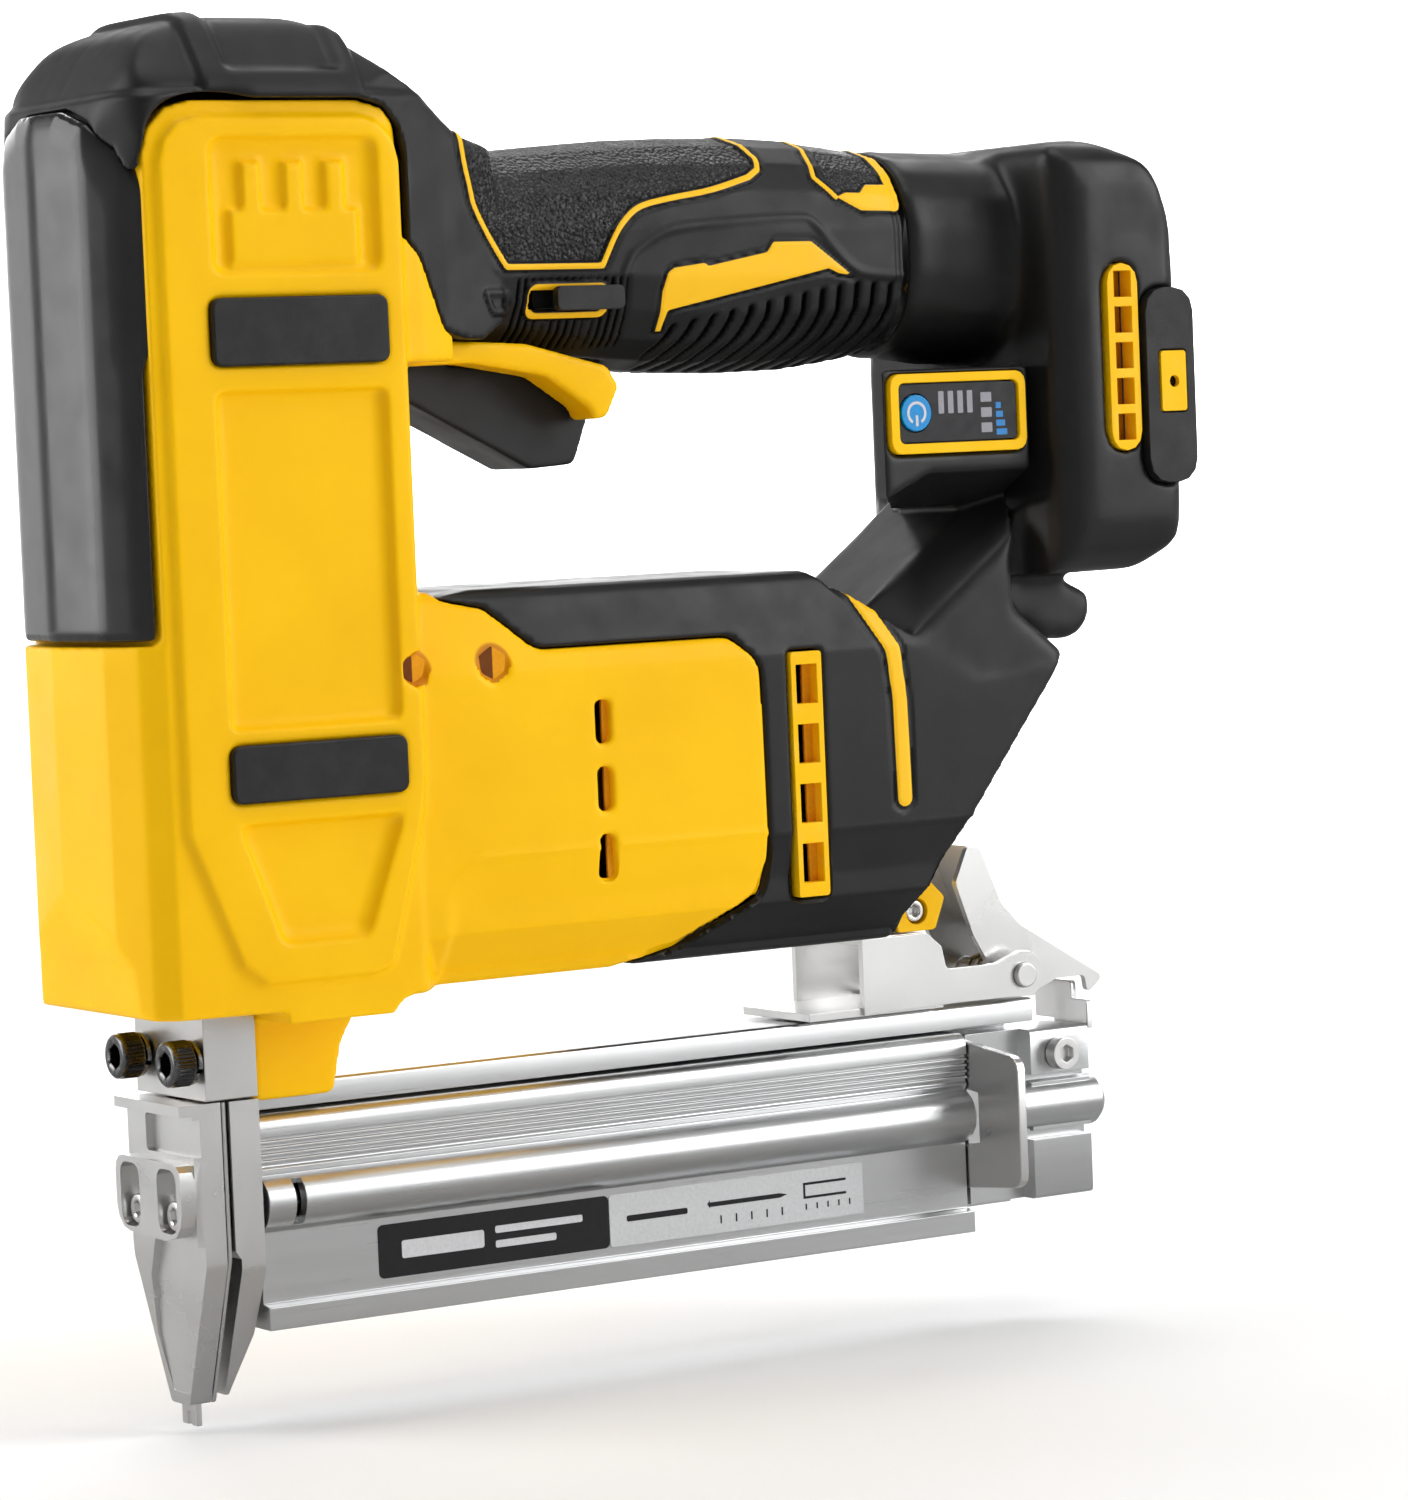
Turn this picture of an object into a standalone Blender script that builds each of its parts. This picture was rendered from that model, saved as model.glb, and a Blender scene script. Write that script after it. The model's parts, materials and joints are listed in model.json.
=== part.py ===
"""Cordless brad nailer, built as an assembly of separate pieces.

Frame: origin at the flat bottom of the contact tip, +Z up along the driver, +X towards the
battery end, +Y to the tool's right-hand side.  Lengths below are millimetres and every mesh is
written in metres.  Outlines are (u, v) points; a third value rounds that corner.
"""

import math

import bmesh
import bpy
from mathutils import Matrix, Vector

MM = 0.001
GAP = 0.3          # clearance between neighbouring pieces
SEAM = 0.15        # half of the gap where the two halves of a housing meet
WALL = 2.6         # housing wall
FAR = 60.0         # reach of a cut that passes right through

# Housings
TOWER_HALF = 26.6      # half width of the tower's side faces
PANEL_HALF = 28.0      # half width at its raised side panels
CAP_HALF = 29.0        # half width of the black cap
MOTOR_HALF = 26.1      # half width of the motor housing
FOOT_HALF = 36.0       # half width of the battery foot
BOX_HALF = 27.6        # half width of the control box on the neck
GRIP_HALF = 19.3       # half width of the handle
TOWER_FRONT = -21.5
TOWER_REAR = 44.7
GUARD_LOW, GUARD_HIGH = 146.8, 243.5
CAP_TOP = 261.5
FOOT_REAR = 213.5
FOOT_TOP, FOOT_LOW = 236.2, 150.0
STRIP_HALF = 17.5      # half width of the yellow strip over the trigger
SKIRT_HALF = 12.0      # half width of the tongue in front of the magazine

# Drive
DRIVE_X = 1.2          # driver blade, along X
AXLE_Z = 115.0         # motor, gearbox and lifter axis
PIN_CIRCLE = 11.46     # radius of the lifter's pins
PIN_COUNT = 8
SPRING_X = 11.0        # mainspring axis
SPRING_LOW, SPRING_HIGH = 103.4, 235.0

# Nose and magazine
NOSE_HALF = 14.0
BOLT_Y, BOLT_Z = 10.4, 69.0
SCREW_Y, SCREW_Z = 7.5, 40.5
RAIL_X = (10.2, 190.0)
SLIDE_X = (10.2, 171.0)
BORE_Y, BORE_Z = -8.7, 41.3

# Controls and latch
TRIGGER_PIVOT = (52.0, 197.6)
TRIGGER_HALF = 7.6
LATCH_PIVOT = (185.5, 68.5)
SLIDER_Z = 207.3
PAD_Z = ((196.2, 208.6), (117.0, 127.6))     # upper and lower side pads

COLOURS = {
    "yellow_plastic": ((0.93, 0.55, 0.02), 0.38, 0.0),
    "black_plastic": ((0.022, 0.022, 0.024), 0.5, 0.0),
    "guard_plastic": ((0.06, 0.062, 0.066), 0.22, 0.0),
    "black_rubber": ((0.02, 0.02, 0.021), 0.75, 0.0),
    "label_plastic": ((0.03, 0.03, 0.035), 0.3, 0.0),
    "blue_button": ((0.02, 0.35, 0.75), 0.3, 0.0),
    "nickel": ((0.72, 0.71, 0.69), 0.22, 1.0),
    "aluminium": ((0.68, 0.69, 0.7), 0.35, 1.0),
    "black_steel": ((0.05, 0.05, 0.052), 0.35, 1.0),
    "spring_steel": ((0.4, 0.4, 0.42), 0.35, 1.0),
    "motor_steel": ((0.3, 0.3, 0.31), 0.4, 1.0),
}


# ---------------------------------------------------------------- scene helpers

for old in list(bpy.data.objects):
    bpy.data.objects.remove(old, do_unlink=True)

PARTS = bpy.data.collections.new("brad_nailer")
bpy.context.scene.collection.children.link(PARTS)


def material(slot):
    """The Principled material of a slot, made once."""
    if slot in bpy.data.materials:
        return bpy.data.materials[slot]
    colour, roughness, metallic = COLOURS[slot]
    made = bpy.data.materials.new(slot)
    made.use_nodes = True
    shader = made.node_tree.nodes["Principled BSDF"]
    shader.inputs["Base Color"].default_value = (*colour, 1.0)
    shader.inputs["Roughness"].default_value = roughness
    shader.inputs["Metallic"].default_value = metallic
    made.diffuse_color = (*colour, 1.0)
    return made


def add(name, mesh):
    """A new object in the nailer's collection."""
    obj = bpy.data.objects.new(name, mesh)
    PARTS.objects.link(obj)
    return obj


def finish(obj, name, slot):
    """Name a finished piece, give it its material and shade its round faces smooth."""
    obj.name = name
    obj.data.name = name
    obj.data.materials.clear()
    obj.data.materials.append(material(slot))
    obj.data.shade_smooth()
    obj.data.set_sharp_from_angle(angle=math.radians(32))
    return obj


def hinge_here(obj, x, z):
    """Move the origin of a piece onto its hinge axis without moving the piece."""
    centre = Vector((x, 0, z)) * MM
    obj.data.transform(Matrix.Translation(-centre))
    obj.location = centre
    return obj


def evaluated(obj):
    """The mesh of an object with its modifiers applied."""
    bpy.context.view_layer.update()
    graph = bpy.context.evaluated_depsgraph_get()
    return bpy.data.meshes.new_from_object(obj.evaluated_get(graph), depsgraph=graph)


def weld(mesh):
    """Merge doubled points and turn every face outwards."""
    bm = bmesh.new()
    bm.from_mesh(mesh)
    bmesh.ops.remove_doubles(bm, verts=bm.verts, dist=0.000001)
    bmesh.ops.recalc_face_normals(bm, faces=bm.faces)
    bm.to_mesh(mesh)
    bm.free()


def combine(obj, operation, others):
    """Boolean the other objects into this one, which uses them up."""
    for other in others:
        step = obj.modifiers.new(operation.lower(), "BOOLEAN")
        step.operation = operation
        step.solver = "EXACT"
        step.object = other
    mesh = evaluated(obj)
    obj.modifiers.clear()
    obj.data = mesh
    for other in others:
        bpy.data.objects.remove(other, do_unlink=True)
    return obj


def cut(obj, *others):
    return combine(obj, "DIFFERENCE", others)


def join(obj, *others):
    return combine(obj, "UNION", others)


def common(obj, *others):
    return combine(obj, "INTERSECT", others)


def mirrored(obj, name, slot):
    """The same piece on the tool's right-hand side."""
    mesh = obj.data.copy()
    mesh.transform(Matrix.Diagonal((1, -1, 1, 1)))
    mesh.flip_normals()
    return finish(add(name, mesh), name, slot)


# ---------------------------------------------------------------- outline helpers


def rounded(corners, steps=3):
    """A closed outline whose corners with a third value become arcs of that radius."""
    points = []
    for index, corner in enumerate(corners):
        here = Vector(corner[:2])
        if len(corner) == 2:
            points.append(tuple(here))
            continue
        before = Vector(corners[index - 1][:2]) - here
        after = Vector(corners[(index + 1) % len(corners)][:2]) - here
        half = before.angle(after) / 2
        reach = min(corner[2] / math.tan(half), 0.49 * before.length, 0.49 * after.length)
        radius = reach * math.tan(half)
        middle = before.normalized() + after.normalized()
        centre = here + middle.normalized() * (radius / math.sin(half))
        first = here + before.normalized() * reach - centre
        last = here + after.normalized() * reach - centre
        start = math.atan2(first.y, first.x)
        sweep = math.atan2(first.x * last.y - first.y * last.x, first.dot(last))
        for step in range(steps + 1):
            angle = start + sweep * step / steps
            points.append((centre.x + radius * math.cos(angle), centre.y + radius * math.sin(angle)))
    return points


def grown(corners, distance):
    """A closed outline with each edge moved outwards by a distance, or inwards if negative."""
    area = sum(a[0] * b[1] - b[0] * a[1] for a, b in zip(corners, corners[1:] + corners[:1]))
    turn = 1 if area > 0 else -1
    moved = []
    for index, corner in enumerate(corners):
        here = Vector(corner[:2])
        into = (here - Vector(corners[index - 1][:2])).normalized()
        out = (Vector(corners[(index + 1) % len(corners)][:2]) - here).normalized()
        normal = Vector((into.y + out.y, -into.x - out.x)) * turn
        place = here + normal * (distance / max(0.35, 1 + into.dot(out)))
        if len(corner) == 2:
            moved.append(tuple(place))
            continue
        convex = (into.x * out.y - into.y * out.x) * turn > 0
        moved.append((*place, max(0.4, corner[2] + (distance if convex else -distance))))
    return moved


def arc(centre, radius, first, last, steps):
    """Points on an arc, with angles in degrees."""
    angles = [math.radians(first + (last - first) * k / steps) for k in range(steps + 1)]
    return [(centre[0] + radius * math.cos(a), centre[1] + radius * math.sin(a)) for a in angles]


def circle(centre, radius, steps=24):
    return arc(centre, radius, 0, 360 - 360 / steps, steps - 1)


def rectangle(u0, u1, v0, v1, radius=0.0):
    corners = [(u0, v0), (u1, v0), (u1, v1), (u0, v1)]
    return [(*corner, radius) for corner in corners] if radius else corners


# ---------------------------------------------------------------- solid helpers

TO_AXIS = {
    "X": Matrix(((0, 0, 1, 0), (1, 0, 0, 0), (0, 1, 0, 0), (0, 0, 0, 1))),
    "Y": Matrix(((1, 0, 0, 0), (0, 0, -1, 0), (0, 1, 0, 0), (0, 0, 0, 1))),
    "Z": Matrix.Identity(4),
}
ALONG = {"X": Vector((1, 0, 0)), "Y": Vector((0, 1, 0)), "Z": Vector((0, 0, 1))}


def prism(outline, axis, low, high, holes=()):
    """A flat outline extruded along an axis.

    The outline is (y, z) for X, (x, z) for Y and (x, y) for Z.  Its corners are rounded here.
    """
    curve = bpy.data.curves.new("outline", "CURVE")
    curve.dimensions = "2D"
    curve.fill_mode = "BOTH"
    curve.extrude = (high - low) / 2 * MM
    for loop in (rounded(outline), *[rounded(hole) for hole in holes]):
        spline = curve.splines.new("POLY")
        spline.points.add(len(loop) - 1)
        spline.use_cyclic_u = True
        for point, (u, v) in zip(spline.points, loop):
            point.co = (u * MM, v * MM, 0, 1)
    drawn = add("outline", curve)
    mesh = evaluated(drawn)
    bpy.data.objects.remove(drawn, do_unlink=True)
    mesh.transform(Matrix.Translation(ALONG[axis] * ((low + high) / 2 * MM)) @ TO_AXIS[axis])
    weld(mesh)
    return add("prism", mesh)


def box(x0, x1, y0, y1, z0, z1):
    """A cube primitive stretched to these limits."""
    bm = bmesh.new()
    middle = Vector((x0 + x1, y0 + y1, z0 + z1)) * (MM / 2)
    size = Matrix.Diagonal(((x1 - x0) * MM, (y1 - y0) * MM, (z1 - z0) * MM, 1))
    bmesh.ops.create_cube(bm, size=1.0, matrix=Matrix.Translation(middle) @ size)
    mesh = bpy.data.meshes.new("box")
    bm.to_mesh(mesh)
    bm.free()
    return add("box", mesh)


def cylinder(start, end, radius, end_radius=None, sides=24):
    """A cylinder or cone primitive between two points."""
    start = Vector(start) * MM
    end = Vector(end) * MM
    along = end - start
    turn = Vector((0, 0, 1)).rotation_difference(along).to_matrix().to_4x4()
    bm = bmesh.new()
    bmesh.ops.create_cone(
        bm,
        cap_ends=True,
        segments=sides,
        radius1=radius * MM,
        radius2=(radius if end_radius is None else end_radius) * MM,
        depth=along.length,
        matrix=Matrix.Translation((start + end) / 2) @ turn,
    )
    mesh = bpy.data.meshes.new("cylinder")
    bm.to_mesh(mesh)
    bm.free()
    return add("cylinder", mesh)


def loft(rings):
    """A solid skinned over rings that all have the same number of (x, y, z) points."""
    bm = bmesh.new()
    rows = [[bm.verts.new(Vector(point) * MM) for point in ring] for ring in rings]
    count = len(rows[0])
    for row, after in zip(rows, rows[1:]):
        for k in range(count):
            bm.faces.new((row[k], row[(k + 1) % count], after[(k + 1) % count], after[k]))
    bm.faces.new(rows[0])
    bm.faces.new(reversed(rows[-1]))
    bmesh.ops.recalc_face_normals(bm, faces=bm.faces)
    mesh = bpy.data.meshes.new("loft")
    bm.to_mesh(mesh)
    bm.free()
    return add("loft", mesh)


def tapered(outer, inner, y_outer, y_inner):
    """A solid between two like outlines in XZ, for a recess or a raised panel with sloped sides."""
    return loft(
        [[(x, y_outer, z) for x, z in rounded(outer)], [(x, y_inner, z) for x, z in rounded(inner)]]
    )


def wire(points, radius, slot_name):
    """A round wire along points, as a poly curve with filled caps."""
    curve = bpy.data.curves.new(slot_name, "CURVE")
    curve.dimensions = "3D"
    curve.bevel_depth = radius * MM
    curve.bevel_resolution = 2
    curve.use_fill_caps = True
    spline = curve.splines.new("POLY")
    spline.points.add(len(points) - 1)
    for point, place in zip(spline.points, points):
        point.co = (*(Vector(place) * MM), 1)
    drawn = add(slot_name, curve)
    mesh = evaluated(drawn)
    bpy.data.objects.remove(drawn, do_unlink=True)
    weld(mesh)
    return add(slot_name, mesh)


def helix(origin, axis, low, high, radius, turns, per_turn):
    """Points of a coil about a line along X, Y or Z."""
    points = []
    for k in range(turns * per_turn + 1):
        angle = 2 * math.pi * k / per_turn
        along = low + (high - low) * k / (turns * per_turn)
        u, v = radius * math.cos(angle), radius * math.sin(angle)
        points.append(
            {
                "X": (along, origin[0] + u, origin[1] + v),
                "Y": (origin[0] + u, along, origin[1] + v),
                "Z": (origin[0] + u, origin[1] + v, along),
            }[axis]
        )
    return points


def socket_screw(tip, head_end, axis_point, head_radius, shank_radius, head_length, washer=0.0):
    """A socket screw along X with its head towards -X, as one solid with a hexagon socket."""
    y, z = axis_point
    head = cylinder((head_end, y, z), (head_end + head_length, y, z), head_radius)
    shank = cylinder((head_end + head_length - 0.5, y, z), (tip, y, z), shank_radius, sides=16)
    made = join(head, shank)
    if washer:
        start = head_end + head_length
        join(made, cylinder((start - 0.2, y, z), (start + washer, y, z), head_radius - 0.5))
    socket = cylinder(
        (head_end - 1, y, z), (head_end + head_length * 0.6, y, z), head_radius * 0.55, sides=6
    )
    return cut(made, socket)


# ---------------------------------------------------------------- housing outlines


def both_sides(near, sign_first=True):
    """Complete a symmetric outline from the corners of its near half."""
    if sign_first:
        return near + [(-corner[0], *corner[1:]) for corner in reversed(near)]
    return near + [(corner[0], -corner[1], *corner[2:]) for corner in reversed(near)]


def tower_plan():
    """The tower from above: a shallow V in front, chamfered corners."""
    near = [
        (-19.3, -16),
        (-15.6, -23.4),
        (-11.8, -TOWER_HALF),
        (39.5, -TOWER_HALF, 3),
        (TOWER_REAR, -20, 4),
    ]
    return [(TOWER_FRONT, 0)] + both_sides(near, sign_first=False)


def motor_section():
    """The motor housing from the end, with a bevel above and below."""
    return both_sides([(-19, 79.5), (-MOTOR_HALF, 89), (-MOTOR_HALF, 137.7), (-20.5, 153.2, 3)])


def yellow_side():
    """The yellow housing from the side: tower, strip over the trigger, motor and skirt."""
    return [
        (TOWER_FRONT, GUARD_LOW - GAP),
        (TOWER_FRONT, 102),
        (-18.8, 91),
        (-17.6, 88, 1),
        (-17, 78.6, 2),
        (9.8, 78.2),
        (9.8, 60.6, 0.8),
        (26.5, 60.6, 1.5),
        (28.5, 70, 8),
        (34, 79, 5),
        (84, 79.5, 6),
        (98, 82.5, 6),
        (114.5, 91.5, 3),
        (116.6, 98, 6),
        (116.2, 136, 6),
        (110, 141.3, 4),
        (67, 141.3, 5),
        (57.5, 149.5, 5),
        (48, 151.5, 4),
        (TOWER_REAR, 158, 6),
        (TOWER_REAR, 195.4, 2),
        (60, 195.6, 8),
        (76, 192.8, 5),
        (85.5, 186.5, 2),
        (86.3, 184.2, 0.8),
        (89.3, 184.4, 1.5),
        (92.4, 190.3, 1.5),
        (90, 194.3, 2),
        (72, 199, 8),
        (56, 199.9, 3),
        (51, 201.5, 3),
        (45.2, 215.3, 2),
        (42.5, 218, 2),
        (42.5, 244.3, 10),
        (-11.9, 244.3, 10),
        (-11.9, GUARD_LOW - GAP),
    ]


def drive_space():
    """The hollow for the drive inside the tower and the motor housing, from the side."""
    return [
        (-18.9, 144),
        (-18.9, 103),
        (-15.4, 89),
        (-14.6, 81.2),
        (84, 82.2, 5),
        (97, 85.2, 4),
        (110, 92.2, 3),
        (125, 92.6),
        (125, 138.7),
        (66, 138.7, 4),
        (57.5, 146.5, 4),
        (46.5, 148.7, 4),
        (42.1, 156, 5),
        (42.1, 212),
        (39.9, 216),
        (39.9, 241.6, 8),
        (-9.3, 241.6, 8),
        (-9.3, 144),
    ]


def cap_side():
    """The black cap and its shoulder down to the handle, from the side."""
    return [
        (-17.2, 232),
        (-17.2, 245, 8),
        (-9, 258, 9),
        (1, CAP_TOP, 8),
        (27, CAP_TOP, 14),
        (45, 248.2, 8),
        (56.5, 238.8, 8),
        (66, 236.2),
        (66, 203),
        (60, 199.2),
        (44, 199.2),
        (40, 215),
        (40, 232),
    ]


def cap_plan():
    """The cap from above, narrowing into the handle."""
    near = [(-17.2, -19), (-14.4, -24.4), (-11.6, -CAP_HALF, 2), (34, -CAP_HALF, 12)]
    return both_sides(near + [(52, -23, 14), (66, -GRIP_HALF)], sign_first=False)


def cap_section():
    """The cap from the front, rounded over its top edges."""
    return both_sides([(-CAP_HALF, 195), (-CAP_HALF, 247, 10), (-18, CAP_TOP, 9)])


GRIP_STATIONS = (
    # x, underside, top, half width
    (56, 199.0, 240.0, 21.5),
    (64, 197.8, 236.4, 20.2),
    (74, 196.4, 236.7, GRIP_HALF),
    (86, 194.6, 237.6, GRIP_HALF),
    (98, 193.4, 238.4, GRIP_HALF),
    (112, 192.6, 238.8, GRIP_HALF),
    (126, 192.2, 238.7, GRIP_HALF),
    (138, 192.4, 238.1, GRIP_HALF),
    (150, 193.8, 236.8, 19.0),
    (159, 195.4, 235.4, 18.6),
)
REACH_STATIONS = (
    # the same kind of stations where the battery foot reaches forward to the handle
    (159.4, 194.2, 236.0, 20.0),
    (166, 194.0, 235.6, 20.2),
    (176, 192.6, 235.4, 21.5),
    (188, 192.4, 234.9, 24.0),
)


def grip(stations, inset=0.0, sides=20, power=2.35):
    """A handle solid lofted over rounded sections."""
    rings = []
    for x, low, high, half in stations:
        centre, tall, wide = (low + high) / 2, (high - low) / 2 - inset, half - inset
        ring = []
        for k in range(sides):
            angle = 2 * math.pi * (k + 0.5) / sides
            c, s = math.cos(angle), math.sin(angle)
            y = wide * math.copysign(abs(c) ** (2 / power), c)
            z = centre + tall * math.copysign(abs(s) ** (2 / power), s)
            ring.append((x, y, z))
        rings.append(ring)
    return loft(rings)


def motor_rear_side():
    """The black part of the motor housing, around and behind the yellow part, from the side."""
    return [
        (47.5, 152.0),
        (56, 153.2, 4),
        (131, 153.4),
        (168, 130),
        (188, 132),
        (158.5, 94.5, 3),
        (149, 79.6, 3),
        (80, 79.6),
        (80, 120),
        (60, 140),
    ]


def neck_side():
    """The neck that ramps up from the motor housing to the foot, from the side."""
    return [
        (140, 146),
        (157.5, 151.5),
        (175.6, 165),
        (175.6, 191.6),
        (181.5, 191.6, 2),
        (181.5, 166, 3),
        (178, 155.3, 3),
        (177.4, 144, 3),
        (190, 134, 1),
        (170, 109.5),
        (140, 119),
    ]


def ramp(inset=0.0):
    """The neck's ramp as a long bar: a flat top with a wide bevel on each side."""
    near = [(-MOTOR_HALF + 0.2, -60), (-MOTOR_HALF + 0.2, -7.4), (-14.5, 0)]
    bar = prism(grown(both_sides(near), -inset), "X", -70, 70)
    rise = Matrix.Rotation(-math.atan2(13.5, 18.1), 4, "Y")
    bar.data.transform(Matrix.Translation(Vector((157.5, 0, 151.5)) * MM) @ rise)
    return bar


def control_box(sign, inset=0.0):
    """The box behind the control panel: its front slants back to the narrow right-hand side."""
    wide = -BOX_HALF + (3.4 if inset else 0)
    low, ridge = (168.6, 3) if inset else (166.3, 5)
    stations = [(wide, low, ridge), (-14.5, 164.2, 0), (-SEAM, 164.2, 0)]
    if sign > 0:
        stations = [(SEAM, 164.2, 0), (14.3, 164.2, 0)]
    rings = []
    for y, low, ridge in stations:
        front = 146 + (y + BOX_HALF) * 0.76 + inset * 1.2
        back, top = 181.3 - inset, 191.5 - inset
        places = [(front, low + inset), (front, top), (back, top), (back, low + ridge + inset)]
        places.append((max(front + 0.6, min(front + 11, 177)), low + ridge + inset))
        rings.append([(x, y, z) for x, z in places])
    return loft(rings)


def foot_side():
    """The battery foot from the side."""
    return [
        (184, 165.5),
        (184, FOOT_TOP - 0.7, 4),
        (196, FOOT_TOP, 8),
        (208.5, 231, 8),
        (212, 222),
        (FOOT_REAR, 200),
        (FOOT_REAR, 156, 6),
        (205, FOOT_LOW, 6),
        (177, FOOT_LOW - 0.4),
        (174.4, 156.5, 1),
    ]


def lug_side():
    """The round lug under the battery foot, from the side."""
    return [(190, 151), (176.1, 151), (176.1, 147), (190.6, 134.9)] + arc((195, 143), 7, -125, 20, 7)


# ---------------------------------------------------------------- yellow main shells


def left_half(obj):
    """Keep what lies on the tool's left of the seam."""
    return common(obj, box(-FAR, 300, -FAR, -SEAM, -FAR, 300))


def side_panel(shell):
    """The raised panel on the tower's side with its three recesses and two pad pockets."""
    foot = [(41, 120), (40, 112), (32.5, 84.5, 3), (27.5, 83.2, 3), (5, 83.2, 3), (0, 87, 3), (-10, 112, 3)]
    raised = [(-10, 242, 9), (41, 242, 9)] + foot
    join(shell, tapered(raised, grown(raised, -1.0), -TOWER_HALF + 0.4, -PANEL_HALF))
    recesses = (
        (rectangle(0.5, 36, 212.5, 238, 3), -2.4, 1.1),
        (rectangle(0, 36, 130, 192, 2), -1.8, 1.1),
        ([(0.5, 113.5, 2), (36, 113.5, 2), (27, 91, 3), (9, 91, 3)], -2.0, 1.3),
    )
    for outline, slope, depth in recesses:
        outer, inner = grown(outline, 0.3), grown(outline, slope)
        cut(shell, tapered(outer, inner, -PANEL_HALF - 0.3, -PANEL_HALF + depth))
    block = join(
        box(5, 31.5, -27.8, -25.5, 214.5, 224.5),
        *[box(x, x + 4, -27.8, -25.5, 224, 233) for x in (7.5, 16.2, 24.8)],
    )
    join(shell, block)
    for low, high in PAD_Z:
        pocket = rectangle(-0.6, 36.3, low - GAP, high + GAP, 2)
        cut(shell, prism(pocket, "Y", -FAR, -PANEL_HALF + 1.2))


def side_openings(shell):
    """Screw recesses, cooling slots and the openings that moving pieces pass through."""
    for x, size in ((39.7, 3.6), (57, 4.0)):
        pocket = cylinder((x, -FAR, 139.3), (x, -TOWER_HALF + 1.6, 139.3), size, sides=6)
        hole = cylinder((x, -FAR, 139.3), (x, -1, 139.3), 1.5, sides=12)
        cut(shell, pocket, hole)
    for low in (97.2, 110, 122.8):
        cut(shell, box(78.7, 82, -FAR, -20, low, low + 8.4))
    cut(
        shell,
        box(-1.5, 8.1, -9.4, 5, 70, 90),
        box(46.5, 94, -TRIGGER_HALF - 0.7, 5, 180, 206),
    )


def main_shells():
    """The two yellow halves that hold the drive."""
    envelope = join(
        prism(tower_plan(), "Z", 76, 250),
        prism(motor_section(), "X", 40, 125),
        box(TOWER_REAR - 3, 96, -STRIP_HALF, STRIP_HALF, 183, 203),
        box(9, 36, -SKIRT_HALF, SKIRT_HALF, 58, 81.5),
        prism([(38, -26.4), (45, -25.8), (53, -23), (53, -20), (38, -20)], "Z", 196, 219),
    )
    left = left_half(common(envelope, prism(yellow_side(), "Y", -FAR, FAR)))
    side_panel(left)
    space = join(
        prism(grown(tower_plan(), -WALL), "Z", 70, 250),
        prism(grown(motor_section(), -WALL), "X", 41, 125),
    )
    cut(left, common(space, prism(drive_space(), "Y", -FAR, 5)))
    cut(left, box(12.4, 24, -SKIRT_HALF + 2.6, 5, 57, 83), box(9, 34, -SKIRT_HALF + 2.6, 5, 57, 63.6))
    side_openings(left)
    finish(left, "main_shell_left", "yellow_plastic")
    mirrored(left, "main_shell_right", "yellow_plastic")


def side_pads():
    """Rubber pads that the tool lies on."""
    for word, (low, high) in zip(("upper", "lower"), PAD_Z):
        pad = prism(rectangle(-0.3, 36, low, high, 1.8), "Y", -PANEL_HALF - 1.2, -PANEL_HALF + 0.9)
        finish(pad, f"side_pad_{word}_left", "black_rubber")
        mirrored(pad, f"side_pad_{word}_right", "black_rubber")


def guard_arch():
    """The guard's outline from the front, with its arched top."""
    near = [(-30, GUARD_LOW - 1), (-30, 220), (-25.5, 229.5), (-22, 235.6), (-16, 240.8), (-8, GUARD_HIGH)]
    return both_sides(near)


def front_guard():
    """The smooth cover over the front of the tower."""
    wall = 2.2
    outer = [(-12.4, -TOWER_HALF + 0.4), (-15.6, -23.4), (-19.3, -16), (TOWER_FRONT, 0)]
    inner = [(-12.4, -TOWER_HALF + wall + 0.9), (-13.8, -22.2), (-17.2, -15.4), (TOWER_FRONT + wall, 0)]
    loop = outer + [(x, -y) for x, y in reversed(outer[:-1])]
    back = inner + [(x, -y) for x, y in reversed(inner[:-1])]
    guard = prism(loop + back[::-1], "Z", GUARD_LOW, 250)
    finish(common(guard, prism(guard_arch(), "X", -30, 0)), "front_guard", "guard_plastic")


# ---------------------------------------------------------------- black shells


def upper_shells():
    """Cap, shoulder and handle: the two black upper halves."""
    side = cap_side()
    left = common(
        prism(side, "Y", -FAR, -SEAM),
        prism(cap_plan(), "Z", 190, 270),
        prism(cap_section(), "X", -30, 80),
    )
    join(left, common(box(50, 170, -FAR, -SEAM, 180, 250), grip(GRIP_STATIONS)))
    space = common(
        prism(grown(side, -WALL), "Y", -FAR, 5),
        prism(grown(cap_plan(), -WALL), "Z", 190, 270),
        prism(grown(cap_section(), -WALL), "X", -30, 80),
    )
    longer = [(GRIP_STATIONS[0][0] - 3, *GRIP_STATIONS[0][1:])] + list(GRIP_STATIONS[1:-1])
    longer.append((GRIP_STATIONS[-1][0] + 3, *GRIP_STATIONS[-1][1:]))
    cut(left, space, grip(longer, WALL))
    cut(left, prism(grown(yellow_side(), GAP), "Y", -FAR, 5))
    cut(left, box(46.5, 94, -TRIGGER_HALF - 0.7, 5, 180, 203))
    cut(left, prism(grown(guard_arch(), GAP), "X", -30, -12.1))
    mirrored(left, "upper_shell_right", "black_rubber")
    cut(left, box(72.6, 85.2, -FAR, -10, SLIDER_Z - 1.9, SLIDER_Z + 1.9))
    finish(left, "upper_shell_left", "black_rubber")


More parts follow.
